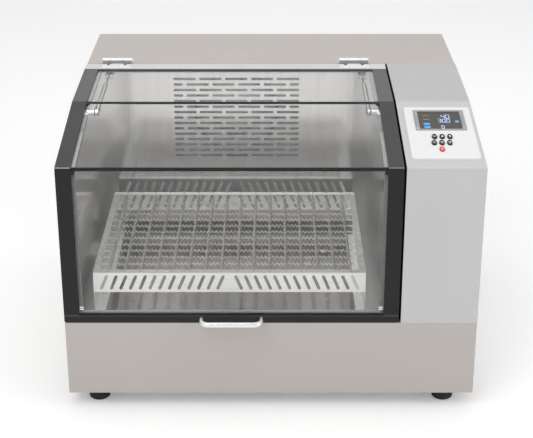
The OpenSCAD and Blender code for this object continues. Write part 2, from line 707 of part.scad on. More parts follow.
// Motor standing on the drive plate, with cooling ribs and an end cap
module drive_motor() color(dark_grey) in_cabinet() {
    z0 = frame_z + frame_t;
    body_r = 44;
    difference() {
        translate([drive_x, motor_y, 0]) union() {
            upward(z0, z0 + 9) rounded(94, 94, 8);
            rod_z(0, 0, z0 + 9, z0 + 112, body_r - 3);
            for (i = [0:9]) rod_z(0, 0, z0 + 14 + i * 8, z0 + 18 + i * 8, body_r);
            rod_z(0, 0, z0 + 98, z0 + 118, body_r);
        }
        rod_z(drive_x, motor_y, z0 - 1, z0 + 60, 6 + fit);
        for (x = [-1, 1], y = [-1, 1])
            rod_z(drive_x + x * 38, motor_y + y * 38, z0 - 1, z0 + 20, 3.5);
    }
}

// Air duct behind the slotted wall, open to the front
module plenum_box() color(steel) in_cabinet() difference() {
    box(plenum_x0, plenum_x1, duct_y + liner, duct_y + liner + plenum_depth, plenum_z0, plenum_z1);
    box(plenum_x0 + liner, plenum_x1 - liner, duct_y, duct_y + plenum_depth,
        plenum_z0 + liner, plenum_z1 - liner);
    rod_y(lid_x, blower_z, duct_y, duct_y + 100, 8);
    rod_y(lid_x - 125, plenum_z0 + 22, duct_y, duct_y + 100, 3.2);
    at_heater_ends() rod_y(0, 0, duct_y, duct_y + 100, 3.2);
}
module blower_motor() color(dark_grey) in_cabinet() {
    y0 = duct_y + liner + plenum_depth;
    difference() {
        union() {
            rod_y(lid_x, blower_z, y0, y0 + 4, 52);
            rod_y(lid_x, blower_z, y0 + 4, y0 + 58, 40);
            rod_y(lid_x, blower_z, y0 + 58, y0 + 64, 30);
        }
        rod_y(lid_x, blower_z, y0 - 1, y0 + 30, 4 + fit);
        for (a = [45:90:315]) translate([lid_x, 0, blower_z]) rotate([0, a, 0])
            rod_y(46, 0, y0 - 1, y0 + 5, 2.2);
    }
}
// Curved blade of the blower wheel: a thin arc from the inner to the outer radius
function blade_arc(r, a0, a1, steps) = [for (i = [0:steps]) let (a = a0 + (a1 - a0) * i / steps)
    r * [cos(a), sin(a)]];
module blade() translate([46, -19]) rotate(-14)
    polygon(concat(blade_arc(26, 34, 98, 6), reversed(blade_arc(24.6, 34, 98, 6))));
module blower_wheel() color(steel) in_cabinet() {
    y1 = duct_y + liner + plenum_depth - 8;
    y0 = y1 - 28;
    blades = 24;
    translate([lid_x, 0, blower_z]) {
        rearward(y1 - 1.5, y1) circle(blower_r);
        rearward(y0, y0 + 1.5) difference() {
            circle(blower_r);
            circle(46);
        }
        rearward(y0 + 0.7, y1 - 0.7) for (i = [0:blades - 1]) rotate(i * 360 / blades)
            intersection() {
                blade();
                circle(blower_r - 0.6);
            }
        rod_y(0, 0, y1 - 16, y1 - 0.5, 11);
        rod_y(0, 0, y1 - 18, y1 + 30, 4);
    }
}
// Heater: a tube bent round the blower wheel, with two legs out through the duct's rear
module heater_element() color([0.45, 0.38, 0.33]) in_cabinet() {
    y = duct_y + liner + 26;
    translate([lid_x, y, blower_z]) rotate([90, 0, 0]) rotate([0, 0, heater_ends[0]])
        rotate_extrude(angle = heater_ends[1] - heater_ends[0]) translate([heater_r, 0]) circle(3);
    at_heater_ends() {
        translate([0, y, 0]) sphere(3.5);
        rod_y(0, 0, y, duct_y + liner + plenum_depth + 14, 3);
    }
}
heater_ends = [-60, 240];
heater_r = blower_r + 11;
module at_heater_ends() for (a = heater_ends)
    translate([lid_x + heater_r * cos(a), 0, blower_z + heater_r * sin(a)]) children();
module temperature_probe() color(bright) in_cabinet() {
    rod_y(lid_x - 125, plenum_z0 + 22, duct_y + liner + 4, duct_y + liner + plenum_depth + 12, 3.1);
    rod_y(lid_x - 125, plenum_z0 + 22, duct_y + liner + plenum_depth, duct_y + liner + plenum_depth + 6, 6);
}

// Mains inlet with a switch frame above the socket
module power_inlet() color(black) in_cabinet() difference() {
    union() {
        rearward(rear_y + sheet, rear_y + sheet + 2.2) translate([inlet_x, inlet_z]) rounded(50, 58, 4);
        rearward(rear_y - 26, rear_y + sheet) translate([inlet_x, inlet_z]) square([27, 46], center = true);
    }
    rearward(rear_y - 18, rear_y + 10) translate([inlet_x, inlet_z - 11]) inlet_outline(24, 16.4);
    rearward(rear_y - 14, rear_y + 10) translate([inlet_x, inlet_z + 12]) square([22, 12.6], center = true);
    rod_x(rear_y, inlet_z + 12, inlet_x - 12.2, inlet_x + 12.2, rocker_pin_r + fit);
}
module inlet_outline(w, h) polygon([[-w / 2, -h / 2], [w / 2, -h / 2], [w / 2, h / 2 - 5],
    [w / 2 - 5, h / 2], [-w / 2 + 5, h / 2], [-w / 2, h / 2 - 5]]);
// Rocker that tilts about a pin across its middle
module power_rocker() color([0.6, 0.1, 0.08]) in_cabinet() {
    across(inlet_x - 10.5, inlet_x + 10.5) translate([rear_y, inlet_z + 12]) polygon([[-6, -3],
        [-6, 3], [1.4, 5.6], [3.2, 5.3], [1.9, 0], [4.4, -4.9], [2.8, -5.5], [-2, -5.2]]);
    rod_x(rear_y, inlet_z + 12, inlet_x - 11.8, inlet_x + 11.8, rocker_pin_r);
}

// Pan-head screws of the rear panel and the fixed hinge leaves
module cabinet_screws() color(bright) in_cabinet() {
    for (x = [left_x + 14, -10, right_x - 14], z = [20, 240, top_z - 16])
        translate([x, rear_y + sheet, z]) rotate([-90, 0, 0]) screw(7, 2);
    at_hinges() leaf_screws(hinge_y + 18, top_z + leaf_t);
}

// Lid rails: bent bars over the cabinet's edges, each with an inner ledge under the glass
module lid_side_rails() color(dark_grey) in_cabinet() mirrored_pair(lid_x) {
    outer_x = lid_w / 2;
    across(outer_x - rail_w, outer_x) polygon(band(0, rail_depth, lid_z, rear_rail_y));
    across(outer_x - rail_w - ledge_w, outer_x - rail_w) difference() {
        polygon(band(glass_in + glass_t + 1.5, rail_depth, bar_top_z, rear_bar_y));
        bracket_notch();
    }
}
// Room for a strut bracket in the rails' ledges and in the tape on them
module bracket_notch() translate(lid_stud) rotate(slope_angle) square([54, 34], center = true);
// Front bottom bar and rear cross bar between the rails
module lid_cross_bars() color(dark_grey) in_cabinet() {
    box(pane_left_x, pane_right_x, 0, rail_depth, lid_z, bar_top_z);
    box(pane_left_x + ledge_w, pane_right_x - ledge_w, glass_in + glass_t + 1.5, rail_depth, bar_top_z,
        bar_top_z + 5);
    across(pane_left_x, pane_right_x) polygon([[rear_bar_y, top_at(rear_bar_y, 0)],
        [rear_rail_y, top_at(rear_rail_y, 0)], [rear_rail_y, top_at(rear_rail_y, rear_bar_depth)],
        [rear_bar_y, top_at(rear_bar_y, rear_bar_depth)]]);
}
// Light rear rail that carries the hinges
module lid_rear_rail() color(pale_grey) in_cabinet() across(left_x, lid_right_x)
    polygon([[rear_rail_y, top_at(rear_rail_y, 0)], [lid_end_y - 1.5, top_at(lid_end_y - 1.5, 0)],
        [lid_end_y, top_at(lid_end_y, 1.5)], [lid_end_y, top_at(lid_end_y, rear_rail_depth)],
        [rear_rail_y, top_at(rear_rail_y, rear_rail_depth)]]);

// Glass panes between the bends, with mitred ends that stop short of each other by the joint
glass_low = corner(bend_low, dir_front, dir_slope, glass_in);
glass_high = corner(bend_high, dir_slope, dir_top, glass_in);
function low_edge(d, side) = corner(glass_low, dir_front, dir_slope, d) + joint_gap * side;
function high_edge(d, side) = corner(glass_high, dir_slope, dir_top, d) + joint_gap * side;
module pane(points) color(glass) in_cabinet() across(pane_left_x, pane_right_x) polygon(points);
module glass_front() pane([[glass_in, pane_z], low_edge(0, -dir_front),
    low_edge(glass_t, -dir_front), [glass_in + glass_t, pane_z]]);
module glass_slope() pane([low_edge(0, dir_slope), high_edge(0, -dir_slope),
    high_edge(glass_t, -dir_slope), low_edge(glass_t, dir_slope)]);
module glass_top() pane([high_edge(0, dir_top), [rear_bar_y, top_at(rear_bar_y, glass_in)],
    [rear_bar_y, top_at(rear_bar_y, glass_in + glass_t)], high_edge(glass_t, dir_top)]);
// Seals of the glass: joints at the bends with end blocks, a channel at the foot, tape at the sides
module glazing_seals() color(black) in_cabinet() {
    joint(glass_low, dir_front, dir_slope);
    joint(glass_high, dir_slope, dir_top);
    across(pane_left_x, pane_right_x) difference() {
        translate([glass_in - 1.2, bar_top_z]) square([glass_t + 2.4, 2.2]);
        translate([glass_in, pane_z]) square([glass_t, cut]);
    }
    side = pane_right_x - lid_x;
    block_start = high_edge(0, -dir_slope) + dir_slope;
    block_end = high_edge(0, -dir_slope) - 8 * dir_slope;
    block_t = 1.5 * inward(dir_slope);
    low_block_z = glass_low[1] - 11;
    mirrored_pair(lid_x) {
        across(side - 5.5, side - 1) translate([glass_in - 1.5, low_block_z]) square([1.5, 10]);
        across(side - ledge_w, side) difference() {
            polygon(band(glass_in + glass_t, glass_in + glass_t + 1.5, bar_top_z + 1.5, rear_bar_y));
            bracket_notch();
        }
        across(side - 6.5, side)
            polygon([block_start, block_end, block_end - block_t, block_start - block_t]);
    }
}
// Filler between two panes that meet at p, with a small raised bead on the outside
module joint(p, a, b) {
    outer = corner(p, a, b, -0.6);
    inner = corner(p, a, b, glass_t + 0.4);
    across(pane_left_x, pane_right_x) polygon([outer - joint_gap * a, outer, outer + joint_gap * b,
        inner + joint_gap * b, inner, inner - joint_gap * a]);
}

// Handle: a bar bent to a shallow U, on the lid's bottom bar
module lid_handle() color(bright) in_cabinet() {
    bend = 13;
    z = lid_z + 6;
    half = handle_w / 2 - 4;
    front = -handle_reach + 4;
    for (s = [0, 1]) translate([lid_x, 0, z]) mirror([s, 0, 0]) {
        translate([half, 0, 0]) rotate([90, 0, 0]) linear_extrude(-front - bend) rounded(8, 8.5, 3);
        translate([half - bend, front + bend, 0]) rotate([0, 0, -90]) rotate_extrude(angle = 90)
            translate([bend, 0]) rounded(8, 8.5, 3);
        translate([0, front, 0]) rotate([90, 0, 90]) linear_extrude(half - bend) rounded(8, 8.5, 3);
    }
}

// Platform with rounded corners
module platform_plate() color(steel) in_cabinet() translate([drive_x, platform_y, 0])
    upward(plate_z - plate_t, plate_z) rounded(rack_w, rack_d, 6);
// Bearing hubs under the platform, each held by screws from above
module hub(bore_r, hub_r) rotate_extrude() polygon([[bore_r + fit, hub_z], [hub_r - 1, hub_z],
    [hub_r, hub_z + 1], [hub_r, plate_z - plate_t - 3], [hub_r + 7, plate_z - plate_t - 3],
    [hub_r + 7, plate_z - plate_t], [bore_r + fit, plate_z - plate_t]]);
module platform_bearings() color(steel) in_cabinet() translate([drive_x, platform_y, 0]) {
    hub(pin_r, 20);
    for (x = [-1, 1], y = [-1, 1]) translate([x * idler_x, y * idler_y, 0]) {
        hub(idler_pin_r, 14);
        translate([0, 0, plate_z]) screw(9, 2.5);
    }
}

// Slanted slot in an apron, from its lower to its upper end
module slanted_slot() rotate(atan2(22, 9.2)) obround(29.3, 5.5);
// Slots of an apron or a side panel, leaning to the middle in both halves
module slant_row(count, pitch, z) for (s = [-1, 1], i = [0:count - 1])
    translate([s * (15.4 + i * pitch), z]) mirror([s > 0 ? 1 : 0, 0]) slanted_slot();
// Front or rear panel: slotted apron with a rim turned in over the springs
module rack_apron() {
    rearward(-rack_d / 2, -rack_d / 2 + liner) difference() {
        translate([-rack_w / 2, rack_z - apron_h]) square([rack_w, apron_h - liner]);
        slant_row(slots_per_half, slant_pitch, rack_z - 19.6);
    }
    upward(rack_z - liner, rack_z) difference() {
        translate([-rack_w / 2, -rack_d / 2]) square([rack_w, rim_w]);
        for (i = [-7.5:1:7.5]) translate([i * spring_pitch, -rack_d / 2 + rim_w / 2]) circle(1.6);
    }
}
// Side panel: full height, with a rim above and a foot flange on the platform
module rack_side() {
    length = rack_d - 2 * liner;
    side_slots = 10;
    translate([-rack_w / 2, 0, 0]) rotate([90, 0, 90]) linear_extrude(liner) difference() {
        translate([-length / 2, plate_z]) square([length, rack_h - liner]);
        slant_row(side_slots, slant_pitch, rack_z - 19.6);
        slant_row(side_slots, slant_pitch, plate_z + 24);
    }
    upward(rack_z - liner, rack_z) difference() {
        translate([-rack_w / 2, -rack_d / 2 + rim_w]) square([rim_w, rack_d - 2 * rim_w]);
        for (i = [-5.5:1:5.5]) translate([-rack_w / 2 + rim_w / 2, i * spring_pitch]) circle(1.6);
    }
    box(-rack_w / 2 + liner, -rack_w / 2 + 14, -length / 2, length / 2, plate_z, plate_z + liner);
}
module rack_panels() color(bright) in_cabinet() translate([drive_x, platform_y, 0]) {
    for (s = [0, 1]) {
        mirror([0, s, 0]) rack_apron();
        mirror([s, 0, 0]) rack_side();
    }
}
// One spring across the rack: the coil as a closed tube, with a wire hook over the rim at each end
module spring(span, depth) {
    wire = 0.8;
    coil = span / 2 - rim_w - 3;
    reach = span / 2 - rim_w / 2;
    difference() {
        rod_y(0, rack_z - depth, -coil, coil, spring_d / 2);
        rod_y(0, rack_z - depth, -coil + 1, coil - 1, spring_d / 2 - wire);
    }
    for (s = [0, 1]) mirror([0, s, 0]) {
        rod_y(0, rack_z - depth, coil - eps, reach, wire);
        rod_z(0, reach, rack_z - depth, rack_z + wire, wire);
        rod_y(0, rack_z + wire, reach - wire, reach + 3.2, wire);
    }
}
module rack_springs() color(bright) in_cabinet() translate([drive_x, platform_y, 0]) {
    upper = liner + spring_d / 2 + 0.4;
    for (i = [-7.5:1:7.5]) translate([i * spring_pitch, 0, 0]) spring(rack_d, upper);
    for (i = [-5.5:1:5.5]) translate([0, i * spring_pitch, 0]) rotate([0, 0, 90])
        spring(rack_w, upper + spring_d + 0.4);
}

base_shell();
bottom_pan();
feet();
cabinet_shell();
rear_panel();
control_column();
chamber_liner();
duct_cover();
insulation_panels();
lid_gasket();
hinge_leaves_cabinet();
strut_anchors();
control_bezel();
display_frame();
display_window();
control_board();
power_supply();
drive_frame();
drive_motor();
drive_belt();
bearing_units();
plenum_box();
blower_motor();
heater_element();
temperature_probe();
power_inlet();
cabinet_screws();
lid_side_rails();
lid_cross_bars();
lid_rear_rail();
glass_front();
glass_slope();
glass_top();
glazing_seals();
lid_handle();
hinge_leaves_lid();
strut_brackets();
strut_tube(-1);  // strut_tube_left
strut_tube(1);  // strut_tube_right
strut_rod(-1);  // strut_rod_left
strut_rod(1);  // strut_rod_right
drive_spindle();
motor_pulley();
idler_crank(1);  // idler_crank_1
idler_crank(2);  // idler_crank_2
idler_crank(3);  // idler_crank_3
idler_crank(4);  // idler_crank_4
platform_plate();
platform_bearings();
rack_panels();
rack_springs();
key(key_places[0], black);  // key_back_left
key(key_places[1], black);  // key_back_middle
key(key_places[2], black);  // key_back_right
key(key_places[3], black);  // key_front_left
key(key_places[4], black);  // key_front_middle
key(key_places[5], black);  // key_front_right
key(key_places[6], [0.75, 0.1, 0.12]);  // key_start
blower_wheel();
power_rocker();
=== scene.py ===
"""Looks of the incubated benchtop shaker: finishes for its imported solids, wound springs for its
rack, the figures on its display, the marks on its keys, and the stage that it stands on.

Lengths in the functions are in millimetres, in the frame of the solids' source: X from the
cabinet's middle, Y from its front face rearwards, Z from the lower edge of its base.
"""

import math

import bpy
import numpy as np
from bpy.props import (
    FloatProperty,
    FloatVectorProperty,
    IntProperty,
    PointerProperty,
)
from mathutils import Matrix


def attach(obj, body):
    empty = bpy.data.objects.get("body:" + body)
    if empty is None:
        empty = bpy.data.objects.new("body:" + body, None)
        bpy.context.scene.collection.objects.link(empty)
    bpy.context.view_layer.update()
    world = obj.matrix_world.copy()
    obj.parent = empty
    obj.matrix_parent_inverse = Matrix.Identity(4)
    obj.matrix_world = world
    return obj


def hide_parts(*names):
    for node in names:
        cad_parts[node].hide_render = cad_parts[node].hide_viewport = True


bl_info = {
    "name": "Benchtop Shaker Looks",
    "version": (1, 0, 0),
    "blender": (4, 5, 0),
    "location": "View3D > Sidebar > Shaker",
    "description": "Finishes, springs, display and stage for the incubated benchtop shaker",
    "category": "Object",
}

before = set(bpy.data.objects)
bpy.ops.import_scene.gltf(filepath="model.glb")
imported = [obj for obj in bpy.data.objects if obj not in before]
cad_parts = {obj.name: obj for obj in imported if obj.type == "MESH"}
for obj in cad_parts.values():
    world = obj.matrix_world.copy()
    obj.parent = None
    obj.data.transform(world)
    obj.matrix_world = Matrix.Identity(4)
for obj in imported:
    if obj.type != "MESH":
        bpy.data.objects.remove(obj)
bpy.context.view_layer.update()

# Places and sizes, in the source's millimetres

# How far the source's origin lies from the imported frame's
FRONT_Y = -311.0
FOOT_H = 28.0
# Lid: its middle across the machine, the glass's half width, and the rear of its black outside
LID_X = -67.0
PANE_HALF = 257.5
PANE_FACE_Y = 2.05
# Side-view places (Y, Z): outer bend of the sheets, bends of the glass, pins of the hinges
OUTER_BEND = (0.0, 418.0)
LOW_BEND = (2.0, 416.3)
HIGH_BEND = (233.2, 451.0)
HINGE = (440.0, 465.0)
# Angle of the sloping panel
SLOPE = math.atan2(35.0, 233.0)
# Rack: middle, top, outline, and its rims' width and thickness
RACK_X = -70.5
RACK_Y = 217.8
RACK_Z = 214.0
RACK_W = 464.0
RACK_D = 360.0
RIM_W = 11.0
RIM_T = 1.2
# Springs: outer radius, spacing, gap over each layer, and how many there are
SPRING_R = 3.0
SPRING_PITCH = 27.5
SPRING_GAP = 0.4
SPRINGS_LENGTHWISE = 16
SPRINGS_CROSSWISE = 12
# Straight wire at a rim, hook over the rim, and corners of the wire
SPRING_LEAD = 3.0
HOOK_REACH = 3.2
WIRE_CORNERS = 5
# Display window: middle across the panel and up the slope, outline, and height of its face
DISPLAY_X = 288.5
DISPLAY_L = 158.0
WINDOW_W = 72.0
WINDOW_L = 63.0
WINDOW_TOP = 2.6
# Figures: width of their bars, and space between two of them
FIGURE_STROKE = 1.15
FIGURE_SPACE = 1.4
# Keys: height of their tops, and middles across the panel and up the slope
KEY_TOP = 4.8
KEYS = {
    "back_left": (273.8, 98.5),
    "back_middle": (286.6, 98.5),
    "back_right": (299.6, 98.5),
    "front_left": (271.3, 77.5),
    "front_middle": (284.1, 77.5),
    "front_right": (297.1, 77.5),
    "start": (282.4, 55.5),
}
# Hinges: distance from the lid's middle, radius of the knuckle, and the screws' distance from
# the hinge's middle, place along the machine and radius
HINGE_X = 224.0
KNUCKLE_R = 5.8
HINGE_SCREW_X = 15.95
HINGE_SCREW_Y = 427.5
HINGE_SCREW_R = 2.8
# Gas struts: distance from the lid's middle, and the painted dark reflections' distance from
# theirs
STRUT_X = 239.0
STRUT_BAND = (2.2, 4.3)
# Light tape along the glass: its width, and the width of the painted highlight on its inner edge
TAPE_W = 6.0
TAPE_EDGE = 1.2
# Glazing: top of the black foot, radii of the black joints, and rear of the tape's part behind the
# front pane, which is painted light
FOOT_TOP = 152.2
LOW_JOINT_R = 8.6
HIGH_JOINT_R = 11.0
FRONT_PART_Y = 9.0
# Bottom bar: its top, and the height and front of the strip painted light behind the glass
BAR_TOP = 149.5
STRIP_H = 6.0
STRIP_Y = 8.0
# Inner side of the column, start of the chamber's right wall, which has painted shade, and of its
# edge painted black for the shadow in the gap, and the heights over which the rear wall's painted
# shade fades out
COLUMN_X = 219.6
RIGHT_WALL_X = 150.0
SEAL_EDGE_X = 214.0
DUCT_SHADE = (230.0, 430.0)
# Clips on the front glass: distance from the lid's middle, height, rear face, outline of each
# of their two plates, and thickness
CLIP_FROM_MIDDLE = 252.2
CLIP_Z = 163.5
CLIP_BACK = -2.0
CLIP_PLATE = (7.0, 2.0)
CLIP_T = 1.2
# Mains inlet: its middle, and its pins' outline, places, start and end
INLET = (255.0, 51.0)
INLET_PIN = (2.0, 4.0)
INLET_PIN_SHIFTS = ((-7.0, -2.0), (7.0, -2.0), (0.0, 2.0))
INLET_PIN_START = 628.5
INLET_PIN_END = 641.0
# Thickness of printed marks and lit figures
PRINT_T = 0.05

# Stage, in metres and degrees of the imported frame

CAMERA_PLACE = (0.0, -2.3616, 1.2399)
CAMERA_TILT = 66.68
CAMERA_SHIFT = -0.0083
# Lamps: height that they face, and the place, side and share of the power of each
LAMP_AIM = 0.25
LAMPS = {
    "key_lamp": ((-1.2, -1.9, 2.6), 1.9, 1.0),
    "fill_lamp": ((2.0, -1.2, 1.4), 1.6, 0.35),
    "top_lamp": ((0.1, 0.4, 2.8), 2.0, 0.5),
}


# Shapes


def at(points):
    """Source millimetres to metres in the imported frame, for an array of points."""
    return (np.asarray(points, float) + [0.0, FRONT_Y, FOOT_H]) / 1000.0


def coordinate(index, place):
    """One source coordinate, in millimetres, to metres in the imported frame."""
    return (place + (0.0, FRONT_Y, FOOT_H)[index]) / 1000.0


def mesh_object(name, points, faces, material, smooth=True):
    """A new object from points in metres and faces, with one finish."""
    mesh = bpy.data.meshes.new(name)
    mesh.from_pydata(points.tolist(), [], faces.tolist())
    if smooth:
        mesh.shade_smooth()
    mesh.materials.append(material)
    mesh.update()
    made = bpy.data.objects.new(name, mesh)
    bpy.context.scene.collection.objects.link(made)
    return made


def mesh_piece(name, points, faces, material, body, slot, smooth=True):
    """A new object as a piece of the model, with the body that it rides on. Its slot is not used.
    """
    piece = mesh_object(name, points, faces, material, smooth)
    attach(piece, body)
    return piece


def tube(line, side, radius, corners):
    """A round wire along a line. At each point the tangent t is the line's slope, n is the given
    side vector made square to t, b = t x n, and the ring is line + radius (cos p n + sin p b) for
    p round a full turn. A flat cap closes each end."""
    t = np.gradient(line, axis=0)
    t /= np.linalg.norm(t, axis=1, keepdims=True)
    n = side - np.sum(side * t, axis=1, keepdims=True) * t
    n /= np.linalg.norm(n, axis=1, keepdims=True)
    b = np.cross(t, n)
    p = np.arange(corners) * 2 * math.pi / corners
    rings = line[:, None] + radius * (
        np.cos(p)[None, :, None] * n[:, None] + np.sin(p)[None, :, None] * b[:, None]
    )
    count = len(line)
    i, j = np.meshgrid(np.arange(count - 1), np.arange(corners), indexing="ij")
    k = (j + 1) % corners
    quads = np.stack(
        [i * corners + j, i * corners + k, (i + 1) * corners + k, (i + 1) * corners + j],
        axis=-1,
    ).reshape(-1, 4)
    halves = np.concatenate([quads[:, [0, 1, 2]], quads[:, [0, 2, 3]]])
    fan = np.arange(1, corners - 1)
    last = (count - 1) * corners
    caps = np.concatenate(
        [
            np.stack([np.zeros_like(fan), fan + 1, fan], axis=-1),
            np.stack([last + np.zeros_like(fan), last + fan, last + fan + 1], axis=-1),
        ]
    )
    return rings.reshape(-1, 3), np.concatenate([halves, caps])


def copies(points, faces, shifts):
    """One mesh at each shift, as an array of points in metres and one of faces."""
    placed = (points[None] + shifts[:, None]).reshape(-1, 3)
    numbered = faces[None] + (np.arange(len(shifts)) * len(points))[:, None, None]
    return at(placed), numbered.reshape(-1, faces.shape[1])


def spring_line(span, z, radius, wire, pitch, samples):
    """Centre line of a spring along X, with its side vectors. Along the coil the line is
    (x, r cos q, z + r sin q) with q growing by a full turn each pitch, and r rises from nothing
    over the first turn and falls over the last. Beyond it the wire runs straight on the axis to
    the rim's hole, up through it and outwards over the rim. The side vector is
    (0, cos q, sin q)."""
    coil = span / 2 - RIM_W - SPRING_LEAD
    reach = span / 2 - RIM_W / 2
    turns = int(round(2 * coil / pitch))
    q = np.linspace(0.0, turns, turns * samples + 1)
    x = -coil + q * 2 * coil / turns
    rise = np.clip(np.minimum(q, turns - q), 0.0, 1.0)
    r = radius * rise * rise * (3 - 2 * rise)
    angle = q * 2 * math.pi
    body = np.stack([x, r * np.cos(angle), z + r * np.sin(angle)], axis=-1)
    over = RACK_Z + wire
    bend = wire * 1.5
    hook = np.array([
        [reach + HOOK_REACH, 0.0, over],
        [reach + bend, 0.0, over],
        [reach + bend * 0.3, 0.0, over - bend * 0.3],
        [reach, 0.0, over - bend],
        [reach, 0.0, z + bend],
        [reach - bend * 0.3, 0.0, z + bend * 0.3],
        [reach - bend, 0.0, z],
    ])
    start = hook * [-1.0, 1.0, 1.0]
    line = np.concatenate([start, body, hook[::-1]])
    turn = np.concatenate([np.zeros(len(hook)), angle, np.zeros(len(hook))])
    side = np.stack([np.zeros_like(turn), np.cos(turn), np.sin(turn)], axis=-1)
    return line, side


def prisms(outlines, low, high):
    """Flat plates from outlines with the same number of corners, an array (plates, corners, 2).
    Each plate has its outline at low and at high, a fan over both and quads round its edge, cut
    into triangles. Outlines run anticlockwise and are convex."""
    outlines = np.asarray(outlines, float)
    plates, corners, _ = outlines.shape
    lower = np.concatenate([outlines, np.full((plates, corners, 1), low)], axis=2)
    upper = np.concatenate([outlines, np.full((plates, corners, 1), high)], axis=2)
    points = np.concatenate([lower, upper], axis=1).reshape(-1, 3)
    fan = np.arange(1, corners - 1)
    zero = np.zeros_like(fan)
    j = np.arange(corners)
    k = (j + 1) % corners
    one = np.concatenate(
        [
            np.stack([zero, fan + 1, fan], axis=-1),
            np.stack([zero, fan, fan + 1], axis=-1) + corners,
            np.stack([j, k, k + corners], axis=-1),
            np.stack([j, k + corners, j + corners], axis=-1),
        ]
    )
    faces = one[None] + (np.arange(plates) * 2 * corners)[:, None, None]
    return points, faces.reshape(-1, 3)


def rounded_plate(x, z, width, height):
    """Twelve-cornered outline of a plate about (x, z), with its corners rounded."""
    turn = np.radians([0.0, 45.0, 90.0])
    r = min(width, height) * 0.3
    bends = []
    for quarter, (sx, sz) in enumerate(((1, 1), (-1, 1), (-1, -1), (1, -1))):
        centre = [x + sx * (width / 2 - r), z + sz * (height / 2 - r)]
        around = turn + quarter * math.pi / 2
        bends.append(centre + r * np.stack([np.cos(around), np.sin(around)], axis=-1))
    return np.concatenate(bends)


def on_slope(points):
    """Points (x, l, h) on the sloping panel to source millimetres: l runs up the slope from the
    outer bend at height z0 and h stands square to it, so y = l cos a - h sin a and
    z = z0 + l sin a + h cos a."""
    x, run, high = np.moveaxis(np.asarray(points, float), -1, 0)
    y = run * math.cos(SLOPE) - high * math.sin(SLOPE)
    z = OUTER_BEND[1] + run * math.sin(SLOPE) + high * math.cos(SLOPE)
    return np.stack([x, y, z], axis=-1)


def facing_front(points):
    """Points (x, z, out) on a plate that looks to the front to source places (x, -out, z)."""
    x, z, out = np.moveaxis(np.asarray(points, float), -1, 0)
    return np.stack([x, -out, z], axis=-1)


def plate_piece(name, outlines, low, high, lay, material, body, slot):
    """A piece made of flat plates, whose points one of the two functions above lays in place."""
    points, faces = prisms(outlines, low, high)
    mesh_piece(name, at(lay(points)), faces, material, body, slot, smooth=False)


def bar_outline(a, b, width):
    """Six-cornered bar from a to b with pointed ends, as a segment of a figure."""
    a, b = np.asarray(a, float), np.asarray(b, float)
    along = (b - a) / np.linalg.norm(b - a)
    across = np.array([-along[1], along[0]]) * width / 2
    tip = along * width / 2
    return [a, a + tip - across, b - tip - across, b, b - tip + across, a + tip + across]


def figure(digit, x, low, width, height, stroke):
    """The lit bars of one seven-bar figure, with its lower left corner at (x, low)."""
    gap = stroke * 0.12
    left, right = x + stroke / 2, x + width - stroke / 2
    foot, middle, top = low + stroke / 2, low + height / 2, low + height - stroke / 2
    ends = {
        "a": ((left, top), (right, top)), "d": ((left, foot), (right, foot)),
        "g": ((left, middle), (right, middle)), "f": ((left, middle), (left, top)),
        "b": ((right, middle), (right, top)), "e": ((left, foot), (left, middle)),
        "c": ((right, foot), (right, middle)),
    }
    lit = {
        "0": "abcdef", "1": "bc", "2": "abdeg", "3": "abcdg", "4": "bcfg",
        "5": "acdfg", "6": "acdefg", "7": "abc", "8": "abcdefg", "9": "abcdfg",
    }[digit]
    outlines = []
    for name in lit:
        a, b = np.array(ends[name], float)
        step = (b - a) / np.linalg.norm(b - a) * gap
        outlines.append(bar_outline(a + step, b - step, stroke))
    return outlines


def arc_bars(centre, radius, width, start, stop, steps):
    """Short six-cornered bars laid end to end along an arc, from start to stop in degrees."""
    turn = np.radians(np.linspace(start, stop, steps + 1))
    ring = np.asarray(centre) + radius * np.stack([np.cos(turn), np.sin(turn)], axis=-1)
    return [bar_outline(ring[i], ring[i + 1], width) for i in range(steps)]


# Finishes


class Nodes:
    """A node tree, with short calls that add nodes to it."""

    def __init__(self, tree):
        self.nodes = tree.nodes
        self.links = tree.links

    def feed(self, socket, value):
        """Links an input to a socket, or sets it to a number or a tuple."""
        if isinstance(value, bpy.types.NodeSocket):
            self.links.new(value, socket)
        else:
            socket.default_value = value

    def node(self, kind, **inputs):
        """A new node with its inputs fed."""
        node = self.nodes.new("ShaderNode" + kind)
        for name, value in inputs.items():
            self.feed(node.inputs[name], value)
        return node

    def calc(self, kind, *values):
        """One Math node over sockets and numbers."""
        node = self.node("Math")
        node.operation = kind
        for socket, value in zip(node.inputs, values):
            self.feed(socket, value)
        return node.outputs["Value"]

    def blend(self, share, first, second):
        """Two shaders mixed, with all of the second where the share is one."""
        node = self.node("MixShader", Fac=share)
        self.feed(node.inputs[1], first)
        self.feed(node.inputs[2], second)
        return node.outputs["Shader"]


